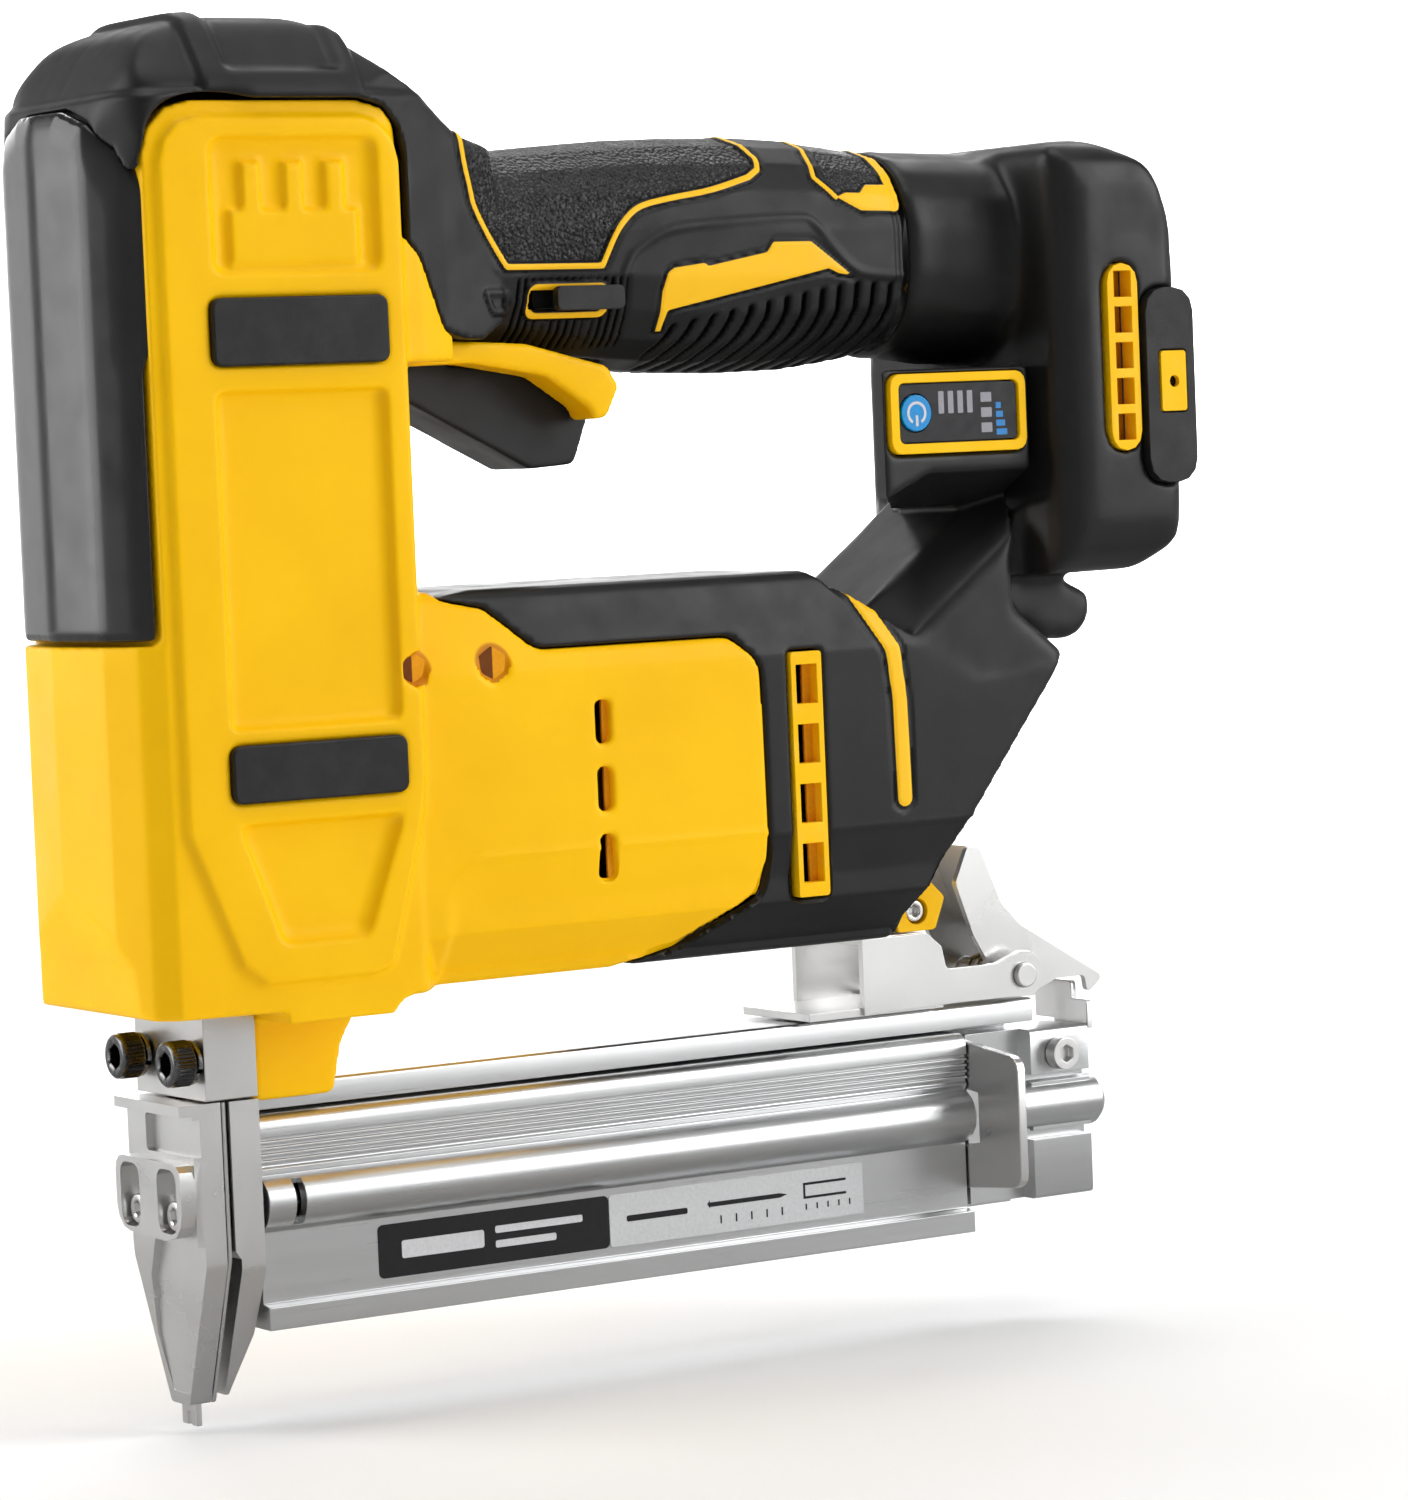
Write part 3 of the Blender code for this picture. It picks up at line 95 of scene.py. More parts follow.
class Shader:
    """A Principled material whose textures lie in the tool's own coordinates, in metres."""

    def __init__(self, name, roughness=0.4, metallic=0.0, **sockets):
        self.material = bpy.data.materials.new(name)
        self.material.use_nodes = True
        tree = self.material.node_tree
        self.nodes, self.links = tree.nodes, tree.links
        self.surface = self.nodes["Principled BSDF"]
        self.surface.inputs["Roughness"].default_value = roughness
        self.surface.inputs["Metallic"].default_value = metallic
        for socket, value in sockets.items():
            self.surface.inputs[socket.replace("_", " ")].default_value = value
        self.place = self.add("ShaderNodeTexCoord").outputs["Object"]

    def add(self, kind, values=None, **settings):
        node = self.nodes.new(kind)
        for key, value in settings.items():
            setattr(node, key, value)
        for key, value in (values or {}).items():
            if isinstance(value, bpy.types.NodeSocket):
                self.links.new(value, node.inputs[key])
            else:
                node.inputs[key].default_value = value
        return node

    def noise(self, scale, detail=2.0, stretch=None):
        """Noise of this many features a metre, squeezed along each axis by stretch."""
        place = self.place
        if stretch:
            place = self.add("ShaderNodeMapping", {"Vector": place, "Scale": stretch}).outputs[0]
        values = {"Vector": place, "Scale": scale, "Detail": detail}
        return self.add("ShaderNodeTexNoise", values).outputs["Fac"]

    def cells(self, scale):
        """Pebbled cells, bent a little so that no two look alike."""
        wobble = self.add("ShaderNodeTexNoise", {"Vector": self.place, "Scale": scale * 0.8})
        shift = self.add("ShaderNodeVectorMath", {0: wobble.outputs["Color"]}, operation="SCALE")
        shift.inputs["Scale"].default_value = 0.7 / scale
        bent = self.add("ShaderNodeVectorMath", {0: self.place, 1: shift.outputs[0]})
        values = {"Vector": bent.outputs[0], "Scale": scale}
        return self.add("ShaderNodeTexVoronoi", values, feature="SMOOTH_F1").outputs["Distance"]

    def remap(self, value, low, high, to_low=0.0, to_high=1.0):
        values = {0: value, 1: low, 2: high, 3: to_low, 4: to_high}
        return self.add("ShaderNodeMapRange", values).outputs["Result"]

    def times(self, a, b, operation="MULTIPLY"):
        return self.add("ShaderNodeMath", {0: a, 1: b}, operation=operation).outputs[0]

    def blend(self, factor, a, b):
        """A colour between a and b, each a colour or a socket."""
        sockets = [(*c, 1.0) if isinstance(c, tuple) else c for c in (a, b)]
        values = {0: factor, 6: sockets[0], 7: sockets[1]}
        return self.add("ShaderNodeMix", values, data_type="RGBA").outputs[2]

    def mask(self, name, low=0.02, high=0.14):
        """A soft-edged mask from a signed distance in millimetres stored on the mesh."""
        distance = self.add("ShaderNodeAttribute", attribute_name=name).outputs["Fac"]
        return self.remap(distance, low, high)

    def edges(self, low=0.515, high=0.58):
        """A mask of convex edges."""
        geometry = self.add("ShaderNodeNewGeometry")
        return self.remap(geometry.outputs["Pointiness"], low, high)

    def feed(self, socket, value):
        self.links.new(value, self.surface.inputs[socket])

    def colour(self, value):
        self.feed("Base Color", value)

    def rough(self, value):
        self.feed("Roughness", value)

    def bump(self, height, depth, strength=1.0):
        """Relief of this depth in millimetres, added to any relief made before."""
        values = {"Height": height, "Distance": depth * MM, "Strength": strength}
        before = self.surface.inputs["Normal"].links
        if before:
            values["Normal"] = before[0].from_socket
        self.feed("Normal", self.add("ShaderNodeBump", values).outputs["Normal"])


def yellow_plastic():
    made = Shader("yellow_moulding", roughness=0.38, Specular_IOR_Level=0.13)
    cloud = made.noise(32, 3)
    tint = made.blend(made.remap(cloud, 0.35, 0.65), (0.95, 0.515, 0.0), (1.0, 0.565, 0.001))
    worn = made.times(made.edges(0.53, 0.6), made.remap(made.noise(180, 3), 0.45, 0.7, 0, 0.5))
    base = made.blend(worn, tint, (1.0, 0.62, 0.06))
    # painted shade: the screw pockets are darkened towards deep orange by the stored deep distance
    made.colour(made.blend(made.mask("deep", 0.0, 0.6), base, (0.62, 0.22, 0.0)))
    made.rough(made.remap(made.noise(90, 4), 0.3, 0.7, 0.33, 0.45))
    made.bump(made.noise(2600, 2), 0.012, 0.5)
    return made.material


def black_moulding(name, shade, roughness, pebbles=1500, depth=0.02):
    """Black plastic or rubber with yellow inlays and leather-grained areas where masks say so."""
    made = Shader(name, roughness=roughness, Specular_IOR_Level=0.3)
    inlay = made.mask("accent")
    grained = made.mask("grain", 0.0, 0.5)
    cloud = made.remap(made.noise(45, 4), 0.3, 0.7, 0.0, 1.0)
    dark = tuple(0.78 * c for c in shade)
    light = tuple(1.25 * c for c in shade)
    base = made.blend(cloud, dark, light)
    worn = made.times(made.edges(), made.remap(made.noise(260, 3), 0.4, 0.7, 0.1, 0.55))
    base = made.blend(worn, base, tuple(3.2 * c for c in shade))
    yellow = made.blend(made.noise(60, 2), (0.94, 0.50, 0.0), (1.0, 0.57, 0.001))
    shaded = made.mask("shade", 0.0, 0.25)
    base = made.blend(shaded, base, tuple(0.15 * c for c in shade))
    made.colour(made.blend(inlay, base, yellow))
    made.feed("Specular IOR Level", made.remap(shaded, 0, 1, 0.3, 0.04))
    own = made.remap(made.noise(120, 4), 0.3, 0.7, roughness - 0.07, roughness + 0.08)
    grain_rough = made.times(grained, -0.1)
    made.rough(made.times(made.times(own, grain_rough, "ADD"), made.times(inlay, 0.06), "ADD"))
    fine = made.times(made.noise(3200, 2), made.remap(inlay, 0, 1, 1.0, 0.2))
    made.bump(fine, depth, 0.6)
    leather = made.times(made.cells(pebbles), grained)
    made.bump(leather, -0.5, 1.0)
    return made.material


def guard_plastic():
    made = Shader("guard_gloss", roughness=0.24, Coat_Weight=0.12, Specular_IOR_Level=0.32)
    made.colour(made.blend(made.noise(30, 2), (0.012, 0.012, 0.013), (0.02, 0.02, 0.021)))
    made.rough(made.remap(made.noise(140, 4), 0.3, 0.75, 0.16, 0.27))
    made.bump(made.noise(900, 3), 0.004, 0.4)
    return made.material


def label_plastic():
    made = Shader("label_film", roughness=0.4, Specular_IOR_Level=0.3)
    specks = made.remap(made.noise(5200, 1), 0.62, 0.72)
    base = made.blend(made.noise(80, 2), (0.007, 0.007, 0.009), (0.012, 0.012, 0.015))
    made.colour(made.blend(specks, base, (0.035, 0.035, 0.042)))
    made.rough(made.remap(made.noise(400, 2), 0.3, 0.7, 0.36, 0.5))
    made.bump(made.noise(4000, 1), 0.01, 0.4)
    return made.material


def ink_and_painted_light(name, colour, roughness=0.4):
    """Printed marks, and linings with painted light and painted shade, a little uneven in tone."""
    made = Shader(name, roughness=roughness, Specular_IOR_Level=0.25)
    paler = tuple(min(1.0, 1.15 * c) for c in colour)
    made.colour(made.blend(made.noise(1500, 3), tuple(0.85 * c for c in colour), paler))
    made.rough(made.remap(made.noise(600, 2), 0.3, 0.7, roughness - 0.06, roughness + 0.06))
    made.bump(made.noise(5000, 1), 0.004, 0.3)
    return made.material


def nickel():
    made = Shader("nickel_plate", roughness=0.3, metallic=1.0)
    made.colour(made.blend(made.noise(40, 2), (0.76, 0.757, 0.75), (0.82, 0.818, 0.81)))
    made.rough(made.remap(made.noise(60, 3), 0.3, 0.7, 0.26, 0.34))
    made.bump(made.noise(3400, 2), 0.003, 0.4)
    return made.material


def aluminium(name="anodised_aluminium", low=0.27, high=0.38):
    """Extruded aluminium: fine lines along X."""
    made = Shader(name, roughness=0.33, metallic=1.0, Anisotropic=0.35)
    lines = made.noise(1.0, 4, (22, 3600, 3600))
    broad = made.noise(1.0, 3, (14, 420, 420))
    made.colour(made.blend(broad, (0.60, 0.605, 0.61), (0.68, 0.685, 0.69)))
    made.rough(made.remap(lines, 0.3, 0.7, low, high))
    made.bump(lines, 0.006, 0.5)
    return made.material


def dark_steel():
    made = Shader("black_oxide", roughness=0.3, metallic=1.0)
    tint = made.blend(made.noise(300, 3), (0.045, 0.045, 0.047), (0.09, 0.09, 0.092))
    made.colour(made.blend(made.edges(0.52, 0.6), tint, (0.34, 0.34, 0.34)))
    made.rough(made.remap(made.noise(700, 3), 0.3, 0.7, 0.18, 0.32))
    made.bump(made.noise(1800, 3), 0.008, 0.5)
    return made.material


def steel(name, dark, light, roughness):
    made = Shader(name, roughness=roughness, metallic=1.0)
    made.colour(made.blend(made.noise(500, 3), (dark,) * 3, (light,) * 3))
    made.rough(made.remap(made.noise(900, 4), 0.3, 0.7, roughness - 0.08, roughness + 0.1))
    made.bump(made.noise(1600, 3), 0.008, 0.5)
    return made.material


def blue_button():
    made = Shader("button_blue", roughness=0.32, Specular_IOR_Level=0.25)
    made.colour(made.blend(made.noise(300, 2), (0.0, 0.22, 0.55), (0.001, 0.27, 0.64)))
    made.rough(made.remap(made.noise(900, 2), 0.3, 0.7, 0.2, 0.34))
    made.bump(made.noise(3000, 1), 0.004, 0.3)
    return made.material


LOOKS = {
    "yellow_plastic": yellow_plastic(),
    "black_plastic": black_moulding("black_moulding", (0.010, 0.010, 0.0105), 0.4),
    "black_rubber": black_moulding("soft_rubber", (0.010, 0.010, 0.0105), 0.46, depth=0.03),
    "guard_plastic": guard_plastic(),
    "label_plastic": label_plastic(),
    "blue_button": blue_button(),
    "nickel": nickel(),
    "aluminium": aluminium(),
    "black_steel": dark_steel(),
    "spring_steel": steel("spring_wire", 0.36, 0.5, 0.3),
    "motor_steel": steel("motor_steel", 0.24, 0.4, 0.38),
}
WHITE_INK = ink_and_painted_light("white_print", (0.62, 0.62, 0.64))
BLUE_INK = ink_and_painted_light("blue_print", (0.03, 0.22, 0.55))
DARK_INK = ink_and_painted_light("dark_print", (0.012, 0.012, 0.014), 0.5)
PALE_FILM = ink_and_painted_light("pale_film", (0.60, 0.61, 0.62), 0.36)
GREY_INK = ink_and_painted_light("grey_print", (0.30, 0.30, 0.33))
# lit and shaded copies of the inner plastic's orange: painted light and painted shade for the
# linings
LINING = ink_and_painted_light("lit_lining", (0.80, 0.33, 0.0), 0.7)
SHADED_LINING = ink_and_painted_light("shaded_lining", (0.16, 0.04, 0.0), 0.7)


# ---------------------------------------------------------------- mesh helpers


def add(name, mesh, slot, look=None, body="housing", replaces=()):
    """A new piece in the scene, riding on its body."""
    piece = bpy.data.objects.new(name, mesh)
    bpy.context.scene.collection.objects.link(piece)
    mesh.materials.clear()
    mesh.materials.append(look or LOOKS[slot])
    if body:
        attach(piece, body)
    if replaces:
        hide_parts(*replaces)
    return piece


def mesh_from(points, faces, name):
    """A closed mesh from points in millimetres, with its faces turned outwards."""
    mesh = bpy.data.meshes.new(name)
    mesh.from_pydata([tuple(c * MM for c in p) for p in points], [], faces)
    bm = bmesh.new()
    bm.from_mesh(mesh)
    bmesh.ops.remove_doubles(bm, verts=bm.verts, dist=1e-7)
    bmesh.ops.recalc_face_normals(bm, faces=bm.faces)
    bm.to_mesh(mesh)
    bm.free()
    mesh.shade_smooth()
    mesh.set_sharp_from_angle(angle=math.radians(35))
    return mesh


def applied(piece):
    """The piece's mesh with its modifiers applied."""
    bpy.context.view_layer.update()
    graph = bpy.context.evaluated_depsgraph_get()
    return bpy.data.meshes.new_from_object(piece.evaluated_get(graph), depsgraph=graph)


def curve_through(points, steps=6):
    """A smooth line through the points."""
    out = []
    ends = [points[0], *points, points[-1]]
    for before, a, b, after in zip(ends, ends[1:], ends[2:], ends[3:]):
        for k in range(steps):
            t = k / steps
            out.append(
                tuple(
                    0.5
                    * (
                        2 * q
                        + (r - p) * t
                        + (2 * p - 5 * q + 4 * r - s) * t * t
                        + (3 * q - p - 3 * r + s) * t**3
                    )
                    for p, q, r, s in zip(before, a, b, after)
                )
            )
    return [*out, tuple(points[-1])]


def step(value, low, high):
    """0 below low, 1 above high and smooth between, for arrays."""
    t = np.clip((value - low) / (high - low), 0, 1)
    return t * t * (3 - 2 * t)


def window(value, low, high, soft):
    """1 between low and high, with soft flanks."""
    return step(value, low - soft, low + soft) * (1 - step(value, high - soft, high + soft))


def path_distance(u, v, path):
    """Distance of each point to a path."""
    nearest = np.full(u.shape, 1e9)
    for (u0, v0), (u1, v1) in zip(path, path[1:]):
        du, dv = u1 - u0, v1 - v0
        t = np.clip(((u - u0) * du + (v - v0) * dv) / (du * du + dv * dv + 1e-12), 0, 1)
        nearest = np.minimum(nearest, np.hypot(u - u0 - t * du, v - v0 - t * dv))
    return nearest


def inside_distance(u, v, outline):
    """Signed distance to an outline, positive inside it."""
    closed = [*outline, outline[0]]
    inside = np.zeros(u.shape, bool)
    for (u0, v0), (u1, v1) in zip(closed, closed[1:]):
        crosses = (v0 > v) != (v1 > v)
        inside ^= crosses & (u < (u1 - u0) * (v - v0) / (v1 - v0 + 1e-12) + u0)
    return np.where(inside, 1, -1) * path_distance(u, v, closed)


def moulded(node, name, slot, voxel, rounds, shape=None, masks=None, soft=None, softer=30, sign=0):
    """A shell made again from a CAD node's solid, with moulded edges, relief and masks.

    soft(points) gives a weight for `softer` more rounds of smoothing, shape(points, outward) a
    move or a height along the normal in millimetres, and masks a name and a function for each
    stored distance.  A half shell has the sign of its side, and is closed again at the seam.
    """
    mesh = NODES[node].data.copy()
    if sign:
        reach_over_seam(mesh, sign)
    piece = add(name, mesh, slot, body=None)
    weld = piece.modifiers.new("weld", "WELD")
    weld.merge_threshold = 1e-6
    grid = piece.modifiers.new("grid", "REMESH")
    grid.mode = "VOXEL"
    grid.voxel_size = voxel * MM
    relax = piece.modifiers.new("relax", "SMOOTH")
    relax.factor = 0.5
    relax.iterations = rounds
    done = applied(piece)
    piece.modifiers.clear()
    piece.data = done
    if soft:
        places = coordinates(done)
        group = piece.vertex_groups.new(name="soft")
        weights = soft(places)
        for level in range(1, 21):
            at = np.nonzero(np.round(weights * 20) == level)[0]
            if len(at):
                group.add(at.tolist(), level / 20, "REPLACE")
        extra = piece.modifiers.new("extra", "SMOOTH")
        extra.vertex_group = "soft"
        extra.factor = 0.5
        extra.iterations = softer
        done = applied(piece)
        piece.modifiers.clear()
        piece.vertex_groups.clear()
        piece.data = done
    if sign:
        cut_at_seam(done, sign)
    places = coordinates(done)
    normals = np.empty(len(done.vertices) * 3)
    done.vertex_normals.foreach_get("vector", normals)
    normals = normals.reshape(-1, 3)
    if shape:
        moves = shape(places, normals)
        moved = places + (moves if moves.ndim == 2 else normals * moves[:, None])
        if sign:
            moved[np.abs(places[:, 1]) < 1e-3, 1] = 0
        done.vertices.foreach_set("co", (moved * MM).ravel())
    for key, function in (masks or {}).items():
        stored = done.attributes.new(key, "FLOAT", "POINT")
        distance = np.clip(function(places, normals), -3, 3)
        stored.data.foreach_set("value", distance.astype(np.float32))
    if sign:
        close_at_seam(done)
    done.materials.clear()
    done.materials.append(LOOKS[slot])
    done.shade_smooth()
    done.set_sharp_from_angle(angle=math.radians(70))
    done.update()
    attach(piece, frame["nodes"][node]["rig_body"])
    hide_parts(node)
    return piece


def reach_over_seam(mesh, sign):
    """Carry a half shell straight on across the middle plane, so that smoothing spares the seam."""
    bm = bmesh.new()
    bm.from_mesh(mesh)
    bmesh.ops.remove_doubles(bm, verts=bm.verts, dist=1e-7)
    section = [face for face in bm.faces if all(abs(v.co.y) < 0.2 * MM for v in face.verts)]
    made = bmesh.ops.extrude_face_region(bm, geom=section)["geom"]
    ends = [item for item in made if isinstance(item, bmesh.types.BMVert)]
    bmesh.ops.translate(bm, verts=ends, vec=(0, sign * SEAM_REACH * MM, 0))
    bmesh.ops.delete(bm, geom=section, context="FACES")
    bm.to_mesh(mesh)
    bm.free()


def cut_at_seam(mesh, sign):
    """Keep what lies on the half's own side of the middle plane."""
    bm = bmesh.new()
    bm.from_mesh(mesh)
    everything = [*bm.verts, *bm.edges, *bm.faces]
    bmesh.ops.bisect_plane(
        bm, geom=everything, dist=2e-5, plane_co=(0, 0, 0), plane_no=(0, sign, 0), clear_outer=True
    )
    bm.to_mesh(mesh)
    bm.free()


def close_at_seam(mesh):
    """Fill the open section at the middle plane."""
    bm = bmesh.new()
    bm.from_mesh(mesh)
    rim = [edge for edge in bm.edges if edge.is_boundary]
    bmesh.ops.triangle_fill(bm, edges=rim, use_beauty=False, use_dissolve=False)
    bm.to_mesh(mesh)
    bm.free()


def coordinates(mesh):
    """A mesh's points as an array, in millimetres."""
    flat = np.empty(len(mesh.vertices) * 3)
    mesh.vertices.foreach_get("co", flat)
    return flat.reshape(-1, 3) / MM


def plate(name, outline, y_outer, y_inner, slot, look, holes=(), body="housing", ease=0.12):
    """A thin flat piece on a side face: an outline in XZ between two depths, edges eased."""
    curve = bpy.data.curves.new(name, "CURVE")
    curve.dimensions = "2D"
    curve.fill_mode = "BOTH"
    curve.extrude = abs(y_inner - y_outer) / 2 * MM
    for loop in (outline, *holes):
        spline = curve.splines.new("POLY")
        spline.points.add(len(loop) - 1)
        spline.use_cyclic_u = True
        for point, (u, v) in zip(spline.points, loop):
            point.co = (u * MM, v * MM, 0, 1)
    drawn = bpy.data.objects.new(name, curve)
    bpy.context.scene.collection.objects.link(drawn)
    mesh = applied(drawn)
    bpy.data.objects.remove(drawn, do_unlink=True)
    upright = Matrix(((1, 0, 0, 0), (0, 0, -1, 0), (0, 1, 0, 0), (0, 0, 0, 1)))
    mesh.transform(Matrix.Translation((0, (y_outer + y_inner) / 2 * MM, 0)) @ upright)
    bm = bmesh.new()
    bm.from_mesh(mesh)
    bmesh.ops.remove_doubles(bm, verts=bm.verts, dist=1e-7)
    bmesh.ops.recalc_face_normals(bm, faces=bm.faces)
    bm.to_mesh(mesh)
    bm.free()
    piece = add(name, mesh, slot, look, body)
    if ease:
        soften_edges(piece, ease)
    return piece


def box_outline(u0, u1, v0, v1, radius=0.0, steps=5):
    """A rectangle with rounded corners."""
    if not radius:
        return [(u0, v0), (u1, v0), (u1, v1), (u0, v1)]
    out = []
    corners = ((u1, v0, -90), (u1, v1, 0), (u0, v1, 90), (u0, v0, 180))
    for u, v, start in corners:
        across = u - math.copysign(radius, u - u0 - 1e-9)
        up = v - math.copysign(radius, v - v0 - 1e-9)
        for k in range(steps + 1):
            angle = math.radians(start + 90 * k / steps)
            out.append((across + radius * math.cos(angle), up + radius * math.sin(angle)))
    return out


def soften_edges(piece, width, angle=28, segments=2):
    """Eased edges that catch the light, on a piece or a CAD node."""
    weld = piece.modifiers.new("weld", "WELD")
    weld.merge_threshold = 1e-6
    flat = piece.modifiers.new("flat", "DECIMATE")
    flat.decimate_type = "DISSOLVE"
    flat.angle_limit = math.radians(0.6)
    ease = piece.modifiers.new("ease", "BEVEL")
    ease.width = width * MM
    ease.segments = segments
    ease.limit_method = "ANGLE"
    ease.angle_limit = math.radians(angle)
    ease.harden_normals = True
    ease.use_clamp_overlap = True


def ring_radius(kind, radius, angle):
    """Radius of a turned station at an angle: round, knurled or hexagonal."""
    if kind == "knurl":
        return radius * (1 - 0.06 * (0.5 + 0.5 * math.cos(36 * angle)))
    if kind == "hex":
        within = (angle + math.pi / 6) % (math.pi / 3) - math.pi / 6
        return radius / math.cos(within)
    return radius


def turned(stations, centre, count=144):
    """A solid of revolution about a line along X, from (x, radius, kind) stations."""
    points, faces = [], []
    y, z = centre
    for x, radius, kind in stations:
        for k in range(count):
            angle = 2 * math.pi * k / count
            r = ring_radius(kind, radius, angle)
            points.append((x, y + r * math.cos(angle), z + r * math.sin(angle)))
    for row in range(len(stations) - 1):
        for k in range(count):
            a, b = row * count + k, row * count + (k + 1) % count
            faces.append((a, b, b + count, a + count))
    faces.append(tuple(range(count)))
    last = (len(stations) - 1) * count
    faces.append(tuple(reversed(range(last, last + count))))
    return points, faces


def socket_bolt(name, slot, centre, x_head, x_seat, x_tip, head, shank, node, washer=None):
    """A knurled socket-head bolt along X, with a hexagon socket and a split washer."""
    chamfer = 0.09 * head
    socket = 0.5 * head
    stations = [
        (x_tip, shank - 0.3, "round"),
        (x_tip - 0.4, shank, "round"),
        (x_seat, shank, "round"),
        (x_seat, head - chamfer / 2, "round"),
        (x_seat - chamfer / 2, head, "round"),
        (x_seat - chamfer, head, "knurl"),
        (x_head + 3 * chamfer, head, "knurl"),
        (x_head + 2.6 * chamfer, head * 0.985, "round"),
        (x_head + chamfer, head * 0.97, "round"),
        (x_head + 0.2 * chamfer, head - 1.1 * chamfer, "round"),
        (x_head, head - 1.8 * chamfer, "round"),
        (x_head, socket * 1.22, "round"),
        (x_head + 0.25, socket, "hex"),
        (x_head + 0.55 * (x_seat - x_head), socket, "hex"),
    ]
    mesh = mesh_from(*turned(stations, centre), name)
    add(name, mesh, slot, replaces=(node,))
    if washer:
        ends = (x_seat + 0.05, x_seat + washer)
        split_washer(f"{name}_washer", centre, *ends, head * 0.96, shank + 0.1)


def split_washer(name, centre, x_low, x_high, outer, inner, count=56):
    """A sprung washer with a gap in it, wound slightly out of flat."""
    points, faces = [], []
    y, z = centre
    thick = (x_high - x_low) * 0.62
    rise = (x_high - x_low) - thick
    for k in range(count + 1):
        angle = math.radians(205 + 348 * k / count)
        x = x_low + rise * k / count
        profile = ((x, inner), (x, outer - 0.15), (x + 0.15, outer), (x + thick - 0.15, outer))
        for px, radius in (*profile, (x + thick, outer - 0.15), (x + thick, inner)):
            points.append((px, y + radius * math.cos(angle), z + radius * math.sin(angle)))
    size = 6
    for row in range(count):
        for k in range(size):
            a, b = row * size + k, row * size + (k + 1) % size
            faces.append((a, b, b + size, a + size))
    faces.append(tuple(range(size)))
    faces.append(tuple(reversed(range(count * size, count * size + size))))
    add(name, mesh_from(points, faces, name), "black_steel")


# ---------------------------------------------------------------- handle and cap

# Outlines on the handle, as (x, z)
GRIP_LINE = curve_through(
    [(57.0, 248), (57.2, 236), (58.8, 228.5), (60.2, 224), (66.2, 214.6), (67.4, 213.4)], 4
)
GRIP_TAIL = [(88.6, 213.3), (91.6, 218.8), (94.0, 221.7), (98.0, 224.4), (104.7, 225.9)]
GRIP_TAIL += [(115, 227.5), (124.5, 229.9)]
GRIP_LINE += curve_through(GRIP_TAIL, 4)
GRIP_LINE += [(127.2, 231.4), (128.0, 233.7), (127.0, 236.1), (125.6, 238.2), (124.8, 248)]
REAR_LINE = [(141.6, 248), (141.3, 236.1), (140.4, 233), (139.9, 229.8), (143.8, 225.8)]
REAR_LINE += [(149.4, 223), (158.4, 222.8)]
REAR_PATCH = [(143.6, 248), (143.2, 236.1), (142.2, 232.7), (142.0, 229.6), (146.3, 226.7)]
REAR_PATCH += [(149.8, 226.6), (151.9, 228.2), (156.8, 228.2), (156.0, 236), (154.6, 248)]
REAR_BAND = REAR_LINE[4:] + [(160, 225), (159.4, 231), (157.8, 237), (156.8, 248), (154.6, 248)]
REAR_BAND += [(156.0, 236), (156.8, 228.2), (151.9, 228.2), (149.8, 226.6), (146.3, 226.7)]
BADGE = [(101.9, 200.6), (102.2, 208.3), (103.2, 211.8), (104.8, 212.7), (111.7, 213.5)]
BADGE += [(112.6, 212.9), (126.1, 215.3), (127.7, 217.3), (136.5, 217.3), (146.4, 210.3)]
BADGE += [(142.9, 210.8), (140.5, 211.8), (103.8, 204.5), (103.2, 200.6)]
CREASE = [(91.4, 206), (94.2, 213), (97.1, 216.5), (105.1, 220.1), (119.5, 221.4), (134.0, 221.9)]
CREASE += [(137.6, 220.9), (142, 216), (146.7, 211.8), (152, 210.4), (159, 210)]
CREASE = curve_through(CREASE, 4)
RIBBED = [(100.8, 190), (101.8, 198), (103.1, 201.6), (127.8, 206.4), (146.7, 209.5)]
RIBBED += [(159, 209.0), (159, 190)]
RIB_FOOT, RIB_PITCH = 106.2, 4.13
RIB_REAR = 158
LOCK_RIBS = box_outline(69.4, 95.4, 197.6, 211.4, 1.0)
LOCK_RIB_PITCH = 1.75
LOCK_SIDE = -8             # the lock slider lies on the left, beyond this Y
# The arch over the front guard, as (y, z)
GUARD_ARCH = [(26.4, 200), (26.4, 227.6), (25.5, 229.5), (22, 235.6), (16, 240.8)]
GUARD_ARCH += [(8, 243.5), (-8, 243.5)]
SLIDER_FRAME = box_outline(72.3, 90.2, 203.6, 210.2, 2.0)
SLIDER_WINDOW = box_outline(73.6, 88.9, 204.8, 209.0, 1.2)
LOCK_MARK = [(61.4, 208.4), (62.0, 209.2), (67.0, 209.2), (67.9, 208.6), (68.6, 205.2)]
LOCK_MARK += [(68.2, 204.5), (63.6, 204.5), (62.8, 205.2)]


def outward(points, normals):
    """True where the handle's surface faces away from its axis."""
    return normals[:, 1] * points[:, 1] + normals[:, 2] * (points[:, 2] - GRIP_MIDDLE) > 0


def grip_accent(points, normals):
    """Yellow lines, band and badge on the handle."""
    x, z = points[:, 0], points[:, 2]
    found = 0.62 - path_distance(x, z, GRIP_LINE)
    found = np.maximum(found, 0.6 - path_distance(x, z, REAR_LINE[:5]))
    found = np.maximum(found, inside_distance(x, z, REAR_BAND))
    side = np.abs(points[:, 1]) > 8
    found = np.maximum(found, np.where(side, inside_distance(x, z, BADGE), -3))
    outside = -inside_distance(x, z, SLIDER_WINDOW)
    frame_line = np.minimum(inside_distance(x, z, SLIDER_FRAME), outside)
    found = np.maximum(found, np.where(points[:, 1] < LOCK_SIDE, frame_line, -3))
    return np.where(outward(points, normals), found, -3)


